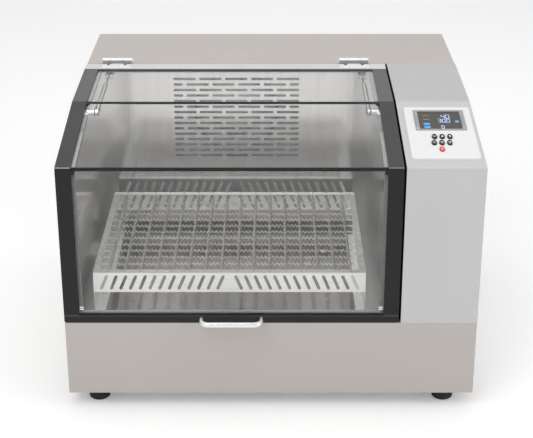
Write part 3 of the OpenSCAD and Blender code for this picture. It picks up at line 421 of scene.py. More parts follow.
class Finish(Nodes):
    """A material's node tree, with short calls for the nodes that the finishes share."""

    def __init__(self, name, colour, roughness, metallic=0.0):
        self.material = bpy.data.materials.new(name)
        self.material.use_nodes = True
        super().__init__(self.material.node_tree)
        self.shader = self.nodes["Principled BSDF"]
        self.colour = tuple(colour)[:3]
        self.set("Base Color", (*self.colour, 1.0))
        self.set("Roughness", roughness)
        self.set("Metallic", metallic)
        self.place = self.node("TexCoord").outputs["Object"]

    def set(self, name, value):
        """Feeds one input of the main shader."""
        self.feed(self.shader.inputs[name], value)

    def stretched(self, x, y, z):
        """Object coordinates, drawn out along the axes with the smaller numbers."""
        return self.node("Mapping", Scale=(x, y, z), Vector=self.place).outputs["Vector"]

    def noise(self, scale, detail=3.0, vector=None, rough=0.5):
        """Cloudy noise with about scale spots to the metre."""
        node = self.node("TexNoise", Scale=scale, Detail=detail, Roughness=rough,
                         Vector=vector or self.place)
        return node.outputs["Fac"]

    def range(self, value, low, high, start=0.3, stop=0.7):
        """Carries a value from start..stop to low..high."""
        ends = {"From Min": start, "From Max": stop, "To Min": low, "To Max": high}
        return self.node("MapRange", Value=value, **ends).outputs["Result"]

    def mixed(self, share, low, high):
        """Gives the base colour a mix of two, each a colour or a socket, and returns it."""
        node = self.node("Mix")
        node.data_type = "RGBA"
        for socket, colour in ((node.inputs[6], low), (node.inputs[7], high)):
            self.feed(socket, (*colour, 1.0) if isinstance(colour, tuple) else colour)
        self.feed(node.inputs[0], share)
        self.set("Base Color", node.outputs[2])
        return node.outputs[2]

    def tint(self, value, dark, light):
        """Base colour that goes from dark to light times the finish's colour."""
        return self.mixed(self.range(value, 0.0, 1.0), self.shade(dark), self.shade(light))

    def add(self, a, b, share=1.0):
        """The sum a + share b of two heights."""
        return self.calc("MULTIPLY_ADD", b, share, a)

    def axis(self, index):
        """Object coordinate along one axis, in metres."""
        return self.node("SeparateXYZ", Vector=self.place).outputs[index]

    def both(self, a, b):
        """One where two masks are one."""
        return self.calc("MULTIPLY", a, b)

    def either(self, a, b):
        """One where at least one of two masks is one."""
        return self.calc("MAXIMUM", a, b)

    def below(self, index, place):
        """One where a coordinate is less than a place in the source's millimetres."""
        return self.calc("LESS_THAN", self.axis(index), coordinate(index, place))

    def above(self, index, place):
        """One where a coordinate is more than a place in the source's millimetres."""
        return self.calc("SUBTRACT", 1.0, self.below(index, place))

    def offset(self, index, place):
        """Metres along one axis from a place in the source's millimetres."""
        return self.calc("SUBTRACT", self.axis(index), coordinate(index, place))

    def shade(self, share):
        """The finish's colour times a share."""
        return tuple(min(1.0, c * share) for c in self.colour)

    def from_middle(self):
        """Distance from the lid's middle across the machine, in metres."""
        return self.calc("ABSOLUTE", self.offset(0, LID_X))

    def from_pair(self, place):
        """Metres across from the nearer of two places, each so many millimetres from the lid's
        middle."""
        return self.calc("ABSOLUTE", self.calc("SUBTRACT", self.from_middle(), place / 1000.0))

    def within(self, a, b, radius):
        """One where two offsets in metres lie in a circle with a radius in millimetres."""
        squares = self.calc("ADD", self.calc("MULTIPLY", a, a), self.calc("MULTIPLY", b, b))
        return self.calc("LESS_THAN", squares, (radius / 1000.0) ** 2)

    def along_x(self, place, radius):
        """One inside a rod along X round a side-view place, both in the source's millimetres."""
        return self.within(self.offset(1, place[0]), self.offset(2, place[1]), radius)

    def paint(self, mask, colour):
        """Another base colour as far as the mask is one."""
        base = self.shader.inputs["Base Color"]
        under = base.links[0].from_socket if base.is_linked else self.colour
        self.mixed(mask, under, colour)

    def gloss(self, value, low, high):
        """Roughness that goes from low to high with a value."""
        self.set("Roughness", self.range(value, low, high))

    def bump(self, height, strength, distance):
        """Height in strength and metres, as a change of the surface's direction only."""
        node = self.node("Bump", Strength=strength, Distance=distance, Height=height)
        self.set("Normal", node.outputs["Normal"])


def coat(f, roughness):
    """Powder coat: a fine pebbled skin, faint clouds in the colour and uneven gloss."""
    pebbles = f.noise(1500.0, 2.0)
    f.tint(f.noise(5.0, 4.0), 0.985, 1.015)
    f.gloss(f.noise(40.0, 3.0), roughness - 0.05, roughness + 0.06)
    f.bump(f.add(pebbles, f.noise(320.0, 2.0), 0.8), 0.12, 0.0004)


def powder_coat(name, colour, roughness=0.42):
    """Sheet with the powder coat all over."""
    f = Finish(name, colour, roughness)
    coat(f, roughness)
    return f.material


def column_coat(name, colour):
    """Powder coat of the column, with painted shade a tone darker on its flat top, a painted
    highlight along its low bend, and painted shade in black on the side that faces the lid, where
    the gap to the lid is in shadow."""
    f = Finish(name, colour, 0.38)
    coat(f, 0.38)
    # Painted shade: the flat top a tone darker
    f.paint(f.above(1, HIGH_BEND[0]), f.shade(0.87))
    # Painted highlight: a light line along the low bend
    f.paint(f.along_x(OUTER_BEND, 1.3), f.shade(1.3))
    # Painted shade: black on the side facing the lid, for the shadow in the gap
    f.paint(f.below(0, COLUMN_X + 0.3), (0.012, 0.012, 0.012))
    return f.material


def brush(f, roughness, grain, bump):
    """Brushing: fine scratches drawn out along one axis, given as the grain's scales, with wide
    soft streaks in colour and gloss."""
    fine = f.noise(1.0, 4.0, f.stretched(*grain), 0.65)
    wide = f.noise(0.12, 3.0, f.stretched(*grain), 0.5)
    f.tint(f.add(wide, f.noise(3.0, 2.0), 0.3), 0.93, 1.04)
    f.gloss(fine, roughness - 0.07, roughness + 0.09)
    f.bump(f.add(fine, wide, 0.7), bump, 0.00012)


def brushed_steel(name, colour, roughness, grain, bump=0.25):
    """Steel sheet with the same brushing all over."""
    f = Finish(name, colour, roughness, 1.0)
    brush(f, roughness, grain, bump)
    return f.material


def liner_steel(name, colour):
    """Chamber sheet: brushed upwards, with painted shade that darkens the right wall, and painted
    shade in black on the edge beside the column, where the gap is in shadow."""
    f = Finish(name, colour, 0.14, 0.88)
    brush(f, 0.14, (5.0, 5.0, 900.0), 0.08)
    # Painted shade: the right wall a tone darker
    f.paint(f.above(0, RIGHT_WALL_X), f.shade(0.74))
    # Painted shade: black on the edge beside the column, for the shadow in the gap
    f.paint(f.above(0, SEAL_EDGE_X), (0.01, 0.01, 0.01))
    return f.material


def duct_steel(name, colour):
    """Rear wall's sheet: brushed across, with painted shade that darkens it towards its foot."""
    f = Finish(name, colour, 0.13, 0.85)
    brush(f, 0.13, (900.0, 40.0, 6.0), 0.06)
    low, high = (coordinate(2, z) for z in DUCT_SHADE)
    # Painted shade: darker towards the foot, fading out between the two DUCT_SHADE heights
    f.paint(f.range(f.axis(2), 1.0, 0.0, low, high), f.shade(0.74))
    return f.material


def rack_steel(name, colour):
    """Bright sheet of the rack, brushed along its length, with painted shade a tone darker on the
    front and side rims and dark painted shade on the rear apron's back, which the rear wall
    mirrors."""
    f = Finish(name, colour, 0.3, 0.4)
    fine = f.noise(1.0, 4.0, f.stretched(7.0, 7.0, 1200.0), 0.65)
    f.tint(f.noise(3.0, 2.0), 0.95, 1.03)
    back = RACK_Y + RACK_D / 2
    rim = f.both(f.above(2, RACK_Z - RIM_T - 0.1), f.below(1, back - RIM_W - 1.0))
    # Painted shade: the front and side rims a tone darker
    f.paint(rim, f.shade(0.55))
    # Painted shade: the rear apron's back dark, so that the rear wall mirrors it dark
    f.paint(f.above(1, back - 0.3), f.shade(0.25))
    f.gloss(fine, 0.24, 0.38)
    f.bump(fine, 0.1, 0.00012)
    return f.material


def turned_steel(name, colour, roughness=0.3):
    """Turned or ground steel: fine rings of tool marks by height, and light stains."""
    f = Finish(name, colour, roughness, 1.0)
    rings = f.noise(1.0, 2.0, f.stretched(15.0, 15.0, 2200.0))
    f.tint(f.noise(60.0, 4.0), 0.9, 1.03)
    f.gloss(f.noise(140.0, 3.0), roughness - 0.05, roughness + 0.12)
    f.bump(rings, 0.15, 0.00008)
    return f.material


def polish(f):
    """Faint clouds and the finest grain, as polished metal has."""
    f.tint(f.noise(25.0, 3.0), 0.97, 1.02)
    f.bump(f.noise(500.0, 2.0), 0.04, 0.0001)


def bright_metal(name, colour, roughness):
    """Polished metal: nearly even, with faint wiping marks in its gloss."""
    f = Finish(name, colour, roughness, 1.0)
    polish(f)
    wiped = f.noise(1.0, 3.0, f.stretched(40.0, 900.0, 300.0))
    f.gloss(wiped, roughness - 0.04, roughness + 0.08)
    return f.material


def anodised(name, colour, roughness, metallic):
    """Anodised bar: a silky skin over faint drawing lines across the machine. Returns the
    finish."""
    f = Finish(name, colour, roughness, metallic)
    lines = f.noise(1.0, 3.0, f.stretched(1600.0, 14.0, 14.0), 0.6)
    f.tint(f.noise(12.0, 3.0), 0.95, 1.06)
    f.gloss(lines, roughness - 0.05, roughness + 0.07)
    f.bump(f.add(lines, f.noise(1800.0, 2.0), 0.6), 0.1, 0.00015)
    return f


def lid_rail(name, colour):
    """Dark anodised rail, with painted shade on its front, painted light on its top, painted
    highlights along the low bend and along the bottom bar's top edge, and a strip painted light
    behind the foot of the glass."""
    f = anodised(name, colour, 0.36, 0.5)
    # Painted shade on the front faces
    f.paint(f.below(1, 0.6), f.shade(0.28))
    # Painted light on the top faces behind the high bend
    f.paint(f.above(1, HIGH_BEND[0]), f.shade(2.0))
    # Painted highlight along the low bend
    f.paint(f.along_x(OUTER_BEND, 1.6), (0.3, 0.3, 0.3))
    # Painted highlight along the bottom bar's top edge
    f.paint(f.along_x((0.0, BAR_TOP), 0.9), (0.09, 0.09, 0.09))
    # Painted light: a light strip on the ledge behind the foot of the glass
    strip = f.both(f.above(2, BAR_TOP + 0.1), f.below(2, BAR_TOP + STRIP_H))
    f.paint(f.both(strip, f.above(1, STRIP_Y)), (0.42, 0.42, 0.41))
    return f.material


def moulded_rubber(name, colour, roughness=0.78):
    """Rubber: matt, with a fine grain and a light bloom in the colour."""
    f = Finish(name, colour, roughness)
    f.tint(f.noise(90.0, 5.0), 0.8, 1.35)
    f.gloss(f.noise(220.0, 3.0), roughness - 0.12, roughness + 0.1)
    f.bump(f.noise(900.0, 4.0), 0.3, 0.0003)
    return f.material


def moulded_plastic(name, colour, roughness, grain=1100.0, depth=0.12):
    """Injection-moulded plastic with a fine spark-eroded grain."""
    f = Finish(name, colour, roughness)
    f.tint(f.noise(7.0, 3.0), 0.985, 1.015)
    f.gloss(f.noise(160.0, 3.0), roughness - 0.04, roughness + 0.05)
    f.bump(f.noise(grain, 3.0), depth, 0.00025)
    return f.material


def pane_glass(name, tint):
    """Clear glass that lets the lamps through."""
    f = Finish(name, tint, 0.0)
    f.set("Transmission Weight", 1.0)
    f.set("IOR", 1.45)
    clear = f.node("BsdfTransparent", Color=(0.95, 0.965, 0.96, 1.0))
    shadow = f.node("LightPath").outputs["Is Shadow Ray"]
    both = f.blend(shadow, f.shader.outputs["BSDF"], clear.outputs["BSDF"])
    f.feed(f.nodes["Material Output"].inputs["Surface"], both)
    return f.material


def glazing_seal(name, colour, tape):
    """Light tape along the sides of the glass, with a painted highlight on its inner edge and
    painted light on its part behind the front pane, and black joint rubber round both bends, at
    the foot and on the outer face."""
    f = Finish(name, tape, 0.4, 0.4)
    f.tint(f.noise(60.0, 3.0), 0.94, 1.03)
    front = f.below(1, FRONT_PART_Y)
    edge = f.calc("LESS_THAN", f.from_middle(), (PANE_HALF - TAPE_W + TAPE_EDGE) / 1000.0)
    # Painted highlight on the tape's inner edge
    f.paint(edge, f.shade(1.25))
    # Painted light on the tape's part behind the front pane
    f.paint(front, f.shade(2.1))
    # Painted highlight, near white, where the inner edge meets the front part
    f.paint(f.both(front, edge), (0.99, 0.99, 0.99))
    joints = f.either(f.along_x(LOW_BEND, LOW_JOINT_R), f.along_x(HIGH_BEND, HIGH_JOINT_R))
    outside = f.either(f.below(1, PANE_FACE_Y), f.below(2, FOOT_TOP))
    f.paint(f.either(joints, outside), colour)
    f.bump(f.noise(900.0, 3.0), 0.2, 0.0002)
    return f.material


def hinge_leaf(name, colour):
    """Polished hinge: bright leaves and knuckle tops, dark screw heads in the lid's leaf, and
    painted shade on the knuckle's lower front where it turns down to the rail."""
    f = Finish(name, colour, 0.3, 0.15)
    polish(f)
    f.gloss(f.noise(1.0, 3.0, f.stretched(300.0, 40.0, 900.0)), 0.24, 0.36)
    across = f.calc("SUBTRACT", f.from_pair(HINGE_X), HINGE_SCREW_X / 1000.0)
    heads = f.within(across, f.offset(1, HINGE_SCREW_Y), HINGE_SCREW_R)
    f.paint(heads, (0.1, 0.1, 0.1))
    # Painted shade on the knuckle's lower front
    shaded_front = f.both(f.below(2, HINGE[1] + 2.5), f.below(1, HINGE[0] - 1.0))
    f.paint(f.both(f.along_x(HINGE, KNUCKLE_R), shaded_front), (0.3, 0.3, 0.3))
    return f.material


def strut_chrome(name, colour):
    """Chromed tube of a gas strut, with the dark reflections that run along both its sides."""
    f = Finish(name, colour, 0.12, 1.0)
    polish(f)
    near, far = (edge / 1000.0 for edge in STRUT_BAND)
    band = f.calc("COMPARE", f.from_pair(STRUT_X), (near + far) / 2, (far - near) / 2)
    # Painted reflection: a dark band along each side of the tube
    f.paint(band, f.shade(0.3))
    f.gloss(f.noise(140.0, 3.0), 0.08, 0.18)
    return f.material


def mineral_wool(name, colour):
    """Pressed fibre board: coarse tufts and threads."""
    f = Finish(name, colour, 0.95)
    threads = f.noise(1.0, 6.0, f.stretched(120.0, 900.0, 500.0), 0.7)
    f.tint(f.add(threads, f.noise(60.0, 4.0), 0.6), 0.7, 1.1)
    f.bump(threads, 0.8, 0.002)
    return f.material


def circuit_board(name, colour):
    """Solder mask over copper tracks: fine lines as between laid bricks."""
    f = Finish(name, colour, 0.35)
    colours = {key: (*f.shade(share), 1.0)
               for key, share in (("Color1", 0.8), ("Color2", 1.2), ("Mortar", 2.2))}
    tracks = f.node("TexBrick", Scale=120.0, Vector=f.place, **{"Mortar Size": 0.03}, **colours)
    f.set("Base Color", tracks.outputs["Color"])
    f.bump(tracks.outputs["Fac"], 0.2, 0.0002)
    return f.material


def glowing_figures(name, colour, strength):
    """Lit bars of the display, a little uneven in brightness."""
    f = Finish(name, colour, 0.4)
    f.set("Emission Color", f.tint(f.noise(260.0, 2.0), 0.85, 1.1))
    f.set("Emission Strength", strength)
    return f.material


def dress(material, *nodes):
    """Gives solids their finish in place of the one they were packed with."""
    for node in nodes:
        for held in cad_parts[node].material_slots:
            held.material = material


# Sizes and colours that a user may change


def number(name, description, default, low, high, **more):
    """A whole or decimal number that the panel shows."""
    kind = IntProperty if isinstance(default, int) else FloatProperty
    return kind(name=name, description=description, default=default, min=low, max=high, **more)


def colour_choice(name, description, default):
    """A colour that the panel shows."""
    return FloatVectorProperty(
        name=name, description=description, default=default, size=3, min=0.0, max=1.0,
        subtype="COLOR",
    )


class ShakerFinishSettings(bpy.types.PropertyGroup):
    """Colours of the machine's finishes."""

    cabinet: colour_choice("Cabinet", "Warm grey paint of base and housing", (0.535, 0.497, 0.47))
    column: colour_choice("Column", "Cool light grey paint of the column", (0.595, 0.597, 0.6))
    rails: colour_choice("Rails", "Dark anodised rails of the lid", (0.07, 0.07, 0.07))
    rear_rail: colour_choice("Rear rail", "Pale rail that carries the hinges", (0.72, 0.715, 0.71))
    chamber: colour_choice("Chamber", "Brushed steel of the chamber", (0.82, 0.81, 0.8))
    bezel: colour_choice("Bezel", "White plastic of the control panel", (0.86, 0.86, 0.855))
    start_key: colour_choice("Start key", "Red cap of the start key", (0.8, 0.03, 0.04))


class ShakerSpringSettings(bpy.types.PropertyGroup):
    """Sizes of the rack's wound springs."""

    wire: number("Wire", "Diameter of the spring wire", 0.0016, 0.0008, 0.002, unit="LENGTH")
    pitch: number("Pitch", "Distance from one turn to the next", 0.0069, 0.004, 0.012,
                  unit="LENGTH")
    samples: number("Samples", "Points on each turn of a coil", 16, 8, 24)


class ShakerDisplaySettings(bpy.types.PropertyGroup):
    """Plain numbers that the display shows."""

    temperature: number("Temperature", "Upper figure on the display", 40, 0, 99)
    speed: number("Speed", "Middle figure on the display", 300, 0, 999)
    hours: number("Hours", "Lower figure on the display", 0, 0, 9)
    glow: number("Glow", "Brightness of the lit figures", 0.9, 0.0, 5.0)


class ShakerStageSettings(bpy.types.PropertyGroup):
    """Light and camera."""

    sky: number("Sky", "Strength of the even light from all round", 0.62, 0.0, 2.0)
    key_light: number("Key light", "Power of the large lamp over the front", 26.0, 0.0, 500.0,
                      subtype="POWER")
    lens: number("Lens", "Focal length of the camera", 91.97, 20.0, 300.0, unit="CAMERA")


# Operators


class SHAKER_OT_dress_cabinet(bpy.types.Operator):
    """Paints the base, the housing, the column and the rear, and finishes feet and screws"""

    bl_idname = "shaker.dress_cabinet"
    bl_label = "Cabinet Finishes"

    def execute(self, context):
        looks = context.scene.shaker_finish
        dress(powder_coat("warm_grey_powder_coat", looks.cabinet), "base_shell", "cabinet_shell",
              "rear_panel")
        dress(column_coat("cool_grey_powder_coat", looks.column), "control_column")
        dress(moulded_rubber("foot_rubber", (0.022, 0.022, 0.022)), "feet")
        dress(moulded_rubber("gasket_rubber", (0.018, 0.018, 0.019), 0.6), "lid_gasket",
              "drive_belt")
        dress(bright_metal("screw_steel", (0.62, 0.61, 0.6), 0.22), "cabinet_screws")
        dress(moulded_plastic("inlet_plastic", (0.02, 0.02, 0.021), 0.45), "power_inlet")
        dress(moulded_plastic("rocker_plastic", (0.62, 0.02, 0.02), 0.3), "power_rocker")
        return {"FINISHED"}


class SHAKER_OT_dress_chamber(bpy.types.Operator):
    """Gives the chamber, its slotted rear wall and the strut anchors their brushed steel"""

    bl_idname = "shaker.dress_chamber"
    bl_label = "Chamber Finishes"

    def execute(self, context):
        steel = context.scene.shaker_finish.chamber
        dress(liner_steel("chamber_steel", steel), "chamber_liner")
        dress(duct_steel("duct_steel", steel), "duct_cover")
        dress(bright_metal("anchor_steel", (0.72, 0.71, 0.7), 0.2), "strut_anchors",
              "temperature_probe")
        return {"FINISHED"}


class SHAKER_OT_dress_lid(bpy.types.Operator):
    """Finishes the lid: dark rails, pale rear rail, glass, seals, handle, hinges and struts"""

    bl_idname = "shaker.dress_lid"
    bl_label = "Lid Finishes"

    def execute(self, context):
        looks = context.scene.shaker_finish
        dress(lid_rail("rail_anodising", looks.rails), "lid_side_rails", "lid_cross_bars")
        dress(anodised("rear_rail_anodising", looks.rear_rail, 0.4, 0.2).material,
              "lid_rear_rail")
        dress(pane_glass("lid_glass", (0.985, 0.98, 0.975)), "glass_front", "glass_slope",
              "glass_top")
        dress(glazing_seal("glazing_rubber", (0.012, 0.012, 0.013), (0.44, 0.44, 0.435)),
              "glazing_seals")
        dress(bright_metal("handle_chrome", (0.96, 0.96, 0.96), 0.16), "lid_handle")
        dress(hinge_leaf("hinge_steel", (0.97, 0.97, 0.97)), "hinge_leaves_lid",
              "hinge_leaves_cabinet")
        dress(bright_metal("bracket_chrome", (0.95, 0.95, 0.95), 0.14), "strut_brackets")
        dress(bright_metal("strut_rod_chrome", (0.85, 0.85, 0.86), 0.07), "strut_rod_left",
              "strut_rod_right")
        dress(strut_chrome("strut_tube_chrome", (0.85, 0.85, 0.85)), "strut_tube_left",
              "strut_tube_right")
        return {"FINISHED"}


class SHAKER_OT_fit_small_metal(bpy.types.Operator):
    """Fits the clips at the lower corners of the front glass and the pins of the mains inlet"""

    bl_idname = "shaker.fit_small_metal"
    bl_label = "Clips and Pins"

    def execute(self, context):
        chrome = bright_metal("clip_chrome", (0.95, 0.95, 0.95), 0.2)
        clips = [rounded_plate(LID_X + side * CLIP_FROM_MIDDLE, CLIP_Z + z, *CLIP_PLATE)
                 for side in (-1, 1) for z in (-1.9, 1.9)]
        plate_piece("glass_corner_clips", clips, CLIP_BACK, CLIP_BACK + CLIP_T, facing_front,
                    chrome, "lid", "polished_steel")
        nickel = bright_metal("pin_nickel", (0.72, 0.7, 0.66), 0.2)
        pins = [rounded_plate(INLET[0] + x, INLET[1] + z, *INLET_PIN)
                for x, z in INLET_PIN_SHIFTS]
        plate_piece("mains_inlet_pins", pins, -INLET_PIN_END, -INLET_PIN_START, facing_front,
                    nickel, "cabinet", "polished_steel")
        return {"FINISHED"}


class SHAKER_OT_dress_rack(bpy.types.Operator):
    """Finishes the platform and the slotted panels of the rack"""

    bl_idname = "shaker.dress_rack"
    bl_label = "Platform and Rack Finishes"

    def execute(self, context):
        dress(brushed_steel("platform_steel", (0.48, 0.47, 0.46), 0.13, (60.0, 3.0, 60.0), 0.04),
              "platform_plate")
        dress(rack_steel("rack_steel", (0.93, 0.925, 0.92)), "rack_panels")
        return {"FINISHED"}


class SHAKER_OT_wind_springs(bpy.types.Operator):
    """Winds the rack's springs, which stand for the closed tubes of the solids"""

    bl_idname = "shaker.wind_springs"
    bl_label = "Wound Springs"

    def execute(self, context):
        upper = RACK_Z - RIM_T - SPRING_R - SPRING_GAP
        lower = upper - 2 * SPRING_R - SPRING_GAP
        # Painted shade: the lengthwise springs get a darker copy of the same wire's steel
        shaded_wire = bright_metal("spring_wire_lengthwise", (0.4, 0.39, 0.38), 0.24)
        bright = bright_metal("spring_wire_crosswise", (0.9, 0.89, 0.88), 0.24)
        sizes = context.scene.shaker_springs
        piece = self.layer("springs_front_to_rear", RACK_D, upper, SPRINGS_LENGTHWISE, 0, sizes,
                           shaded_wire)
        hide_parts("rack_springs")
        self.layer("springs_side_to_side", RACK_W, lower, SPRINGS_CROSSWISE, 1, sizes, bright)
        return {"FINISHED"}

    @staticmethod
    def layer(name, span, height, count, axis, sizes, material):
        """A layer of equal springs at one height, set out along axis 0 or 1."""
        wire = sizes.wire * 500.0
        line, side = spring_line(span, height, SPRING_R - wire, wire, sizes.pitch * 1000.0,
                                 sizes.samples)
        points, faces = tube(line, side, wire, WIRE_CORNERS)
        if axis == 0:
            points = np.stack([-points[:, 1], points[:, 0], points[:, 2]], axis=-1)
        shifts = np.array([[RACK_X, RACK_Y, 0.0]] * count)
        shifts[:, axis] += (np.arange(count) - (count - 1) / 2) * SPRING_PITCH
        return mesh_piece(name, *copies(points, faces, shifts), material, "platform",
                          "polished_steel")


class SHAKER_OT_dress_controls(bpy.types.Operator):
    """Finishes the control panel, the display's frame and window, and the keys"""

    bl_idname = "shaker.dress_controls"
    bl_label = "Control Panel Finishes"

    def execute(self, context):
        looks = context.scene.shaker_finish
        dress(moulded_plastic("bezel_plastic", looks.bezel, 0.32, 1400.0, 0.06), "control_bezel")
        dress(bright_metal("display_frame_finish", (0.62, 0.62, 0.62), 0.16), "display_frame")
        dress(moulded_plastic("display_window_plastic", (0.075, 0.068, 0.056), 0.12, 300.0,
                              0.01), "display_window")
        key_plastic = moulded_plastic("key_plastic", (0.008, 0.008, 0.008), 0.5)
        dress(key_plastic, *(f"key_{name}" for name in KEYS if name != "start"))
        dress(moulded_plastic("start_key_plastic", looks.start_key, 0.35), "key_start")
        return {"FINISHED"}


class SHAKER_OT_light_display(bpy.types.Operator):
    """Sets the plain figures and the coloured fields on the display"""

    bl_idname = "shaker.light_display"
    bl_label = "Display Figures"

    def execute(self, context):
        shown = context.scene.shaker_display
        left = DISPLAY_X - WINDOW_W / 2
        low = DISPLAY_L - WINDOW_L / 2
        # Each row's text, its left and low edges as shares of the window, its figures' size
        rows = (
            (str(shown.temperature), 0.554, 0.62, 6.4, 14.4),
            (str(shown.speed), 0.456, 0.38, 6.0, 14.4),
            (str(shown.hours), 0.514, 0.035, 5.3, 12.0),
        )
        bars = []
        for text, from_left, from_low, width, height in rows:
            for i, digit in enumerate(text):
                x = left + from_left * WINDOW_W + i * (width + FIGURE_SPACE)
                bars += figure(digit, x, low + from_low * WINDOW_L, width, height, FIGURE_STROKE)
        self.field("display_figures", bars, "display_white", (0.4, 0.5, 0.85), shown.glow)
        # Name, finish, colour and glow, and the fields' left, right, low and high edges as shares
        groups = (
            ("display_blue_fields", "display_blue", (0.06, 0.28, 0.62), shown.glow * 0.7,
             ((0.102, 0.26, 0.248, 0.371), (0.103, 0.263, 0.07, 0.19),
              (0.863, 0.957, 0.38, 0.52))),
            ("display_faint_fields", "display_amber", (0.19, 0.13, 0.08), 0.35,
             ((0.12, 0.262, 0.77, 0.83), (0.115, 0.266, 0.545, 0.605),
              (0.62, 0.66, 0.92, 0.95))),
        )
        for name, finish, colour, glow, edges in groups:
            patches = [self.patch(left + a * WINDOW_W, left + b * WINDOW_W, low + c * WINDOW_L,
                                  low + d * WINDOW_L) for a, b, c, d in edges]
            self.field(name, patches, finish, colour, glow)
        return {"FINISHED"}

    @staticmethod
    def patch(x0, x1, l0, l1):
        """Eight-cornered field with its corners cut."""
        c = min(x1 - x0, l1 - l0) * 0.28
        return [(x0 + c, l0), (x1 - c, l0), (x1, l0 + c), (x1, l1 - c), (x1 - c, l1),
                (x0 + c, l1), (x0, l1 - c), (x0, l0 + c)]

    @staticmethod
    def field(name, outlines, finish, colour, glow):
        """Lit plates that lie just over the window."""
        plate_piece(name, outlines, WINDOW_TOP + 0.01, WINDOW_TOP + 0.01 + PRINT_T, on_slope,
                    glowing_figures(finish, colour, glow), "cabinet", "display")


class SHAKER_OT_mark_keys(bpy.types.Operator):
    """Prints a plain mark on each key: arrows, a bar, rings and the start sign"""

    bl_idname = "shaker.mark_keys"
    bl_label = "Key Marks"

    def execute(self, context):
        ink = moulded_plastic("key_ink", (0.95, 0.95, 0.95), 0.5)
        for name, (x, run) in KEYS.items():
            outlines = [np.asarray(o, float) + [x, run] for o in self.mark(name)]
            slot = "red_plastic" if name == "start" else "black_plastic"
            plate_piece(f"key_mark_{name}", outlines, KEY_TOP, KEY_TOP + PRINT_T, on_slope, ink,
                        f"key_{name}", slot)
        return {"FINISHED"}

    @staticmethod
    def mark(name):
        """Outlines of one mark about the key's middle, drawn out up the slope as the keys are."""
        tall = 1.7
        if name == "back_left":
            shape = [bar_outline((-2.8, 0.9), (0.0, -0.9), 0.9),
                     bar_outline((0.0, -0.9), (2.8, 0.9), 0.9)]
        elif name in ("back_middle", "back_right"):
            s = -1 if name == "back_middle" else 1
            shape = [[(0.0, 2.4 * s), (-2.3, 0.0), (-2.3, -0.01), (2.3, -0.01), (2.3, 0.0),
                      (0.001, 2.4 * s)][::s],
                     bar_outline((0.0, -2.4 * s), (0.0, 0.3 * s), 1.5)]
        elif name == "start":
            shape = arc_bars((0.0, -0.2), 2.2, 0.75, 125.0, 415.0, 12)
            shape.append(bar_outline((0.0, 0.1), (0.0, 2.8), 0.8))
        else:
            shape = arc_bars((0.0, 0.0), 1.9, 0.7, 0.0, 360.0, 12)
            if name != "front_left":
                shape.append(bar_outline((0.0, -1.2), (0.0, 1.2), 0.7))
            if name == "front_right":
                shape.append(bar_outline((-1.2, 0.0), (1.2, 0.0), 0.7))
        return [np.asarray(o, float) * [1.0, tall] for o in shape]


class SHAKER_OT_dress_inside(bpy.types.Operator):
    """Finishes what is inside: drive, blower, heater, electronics and insulation"""

    bl_idname = "shaker.dress_inside"
    bl_label = "Drive and Inner Finishes"

    def execute(self, context):
        dress(brushed_steel("galvanised_sheet", (0.55, 0.56, 0.57), 0.42, (30.0, 30.0, 300.0)),
              "bottom_pan", "drive_frame", "plenum_box")
        dress(turned_steel("turned_steel", (0.6, 0.6, 0.6)), "drive_spindle", "motor_pulley",
              "bearing_units", "platform_bearings", *(f"idler_crank_{i}" for i in range(1, 5)))
        dress(turned_steel("blower_aluminium", (0.72, 0.72, 0.73), 0.35), "blower_wheel")
        dress(powder_coat("motor_paint", (0.035, 0.036, 0.038), 0.55), "drive_motor",
              "blower_motor")
        dress(turned_steel("heater_sheath", (0.24, 0.19, 0.16), 0.5), "heater_element")
        dress(anodised("supply_case", (0.45, 0.45, 0.46), 0.4, 0.8).material, "power_supply")
        dress(circuit_board("solder_mask", (0.015, 0.11, 0.04)), "control_board")
        dress(mineral_wool("mineral_wool", (0.62, 0.55, 0.36)), "insulation_panels")
        return {"FINISHED"}


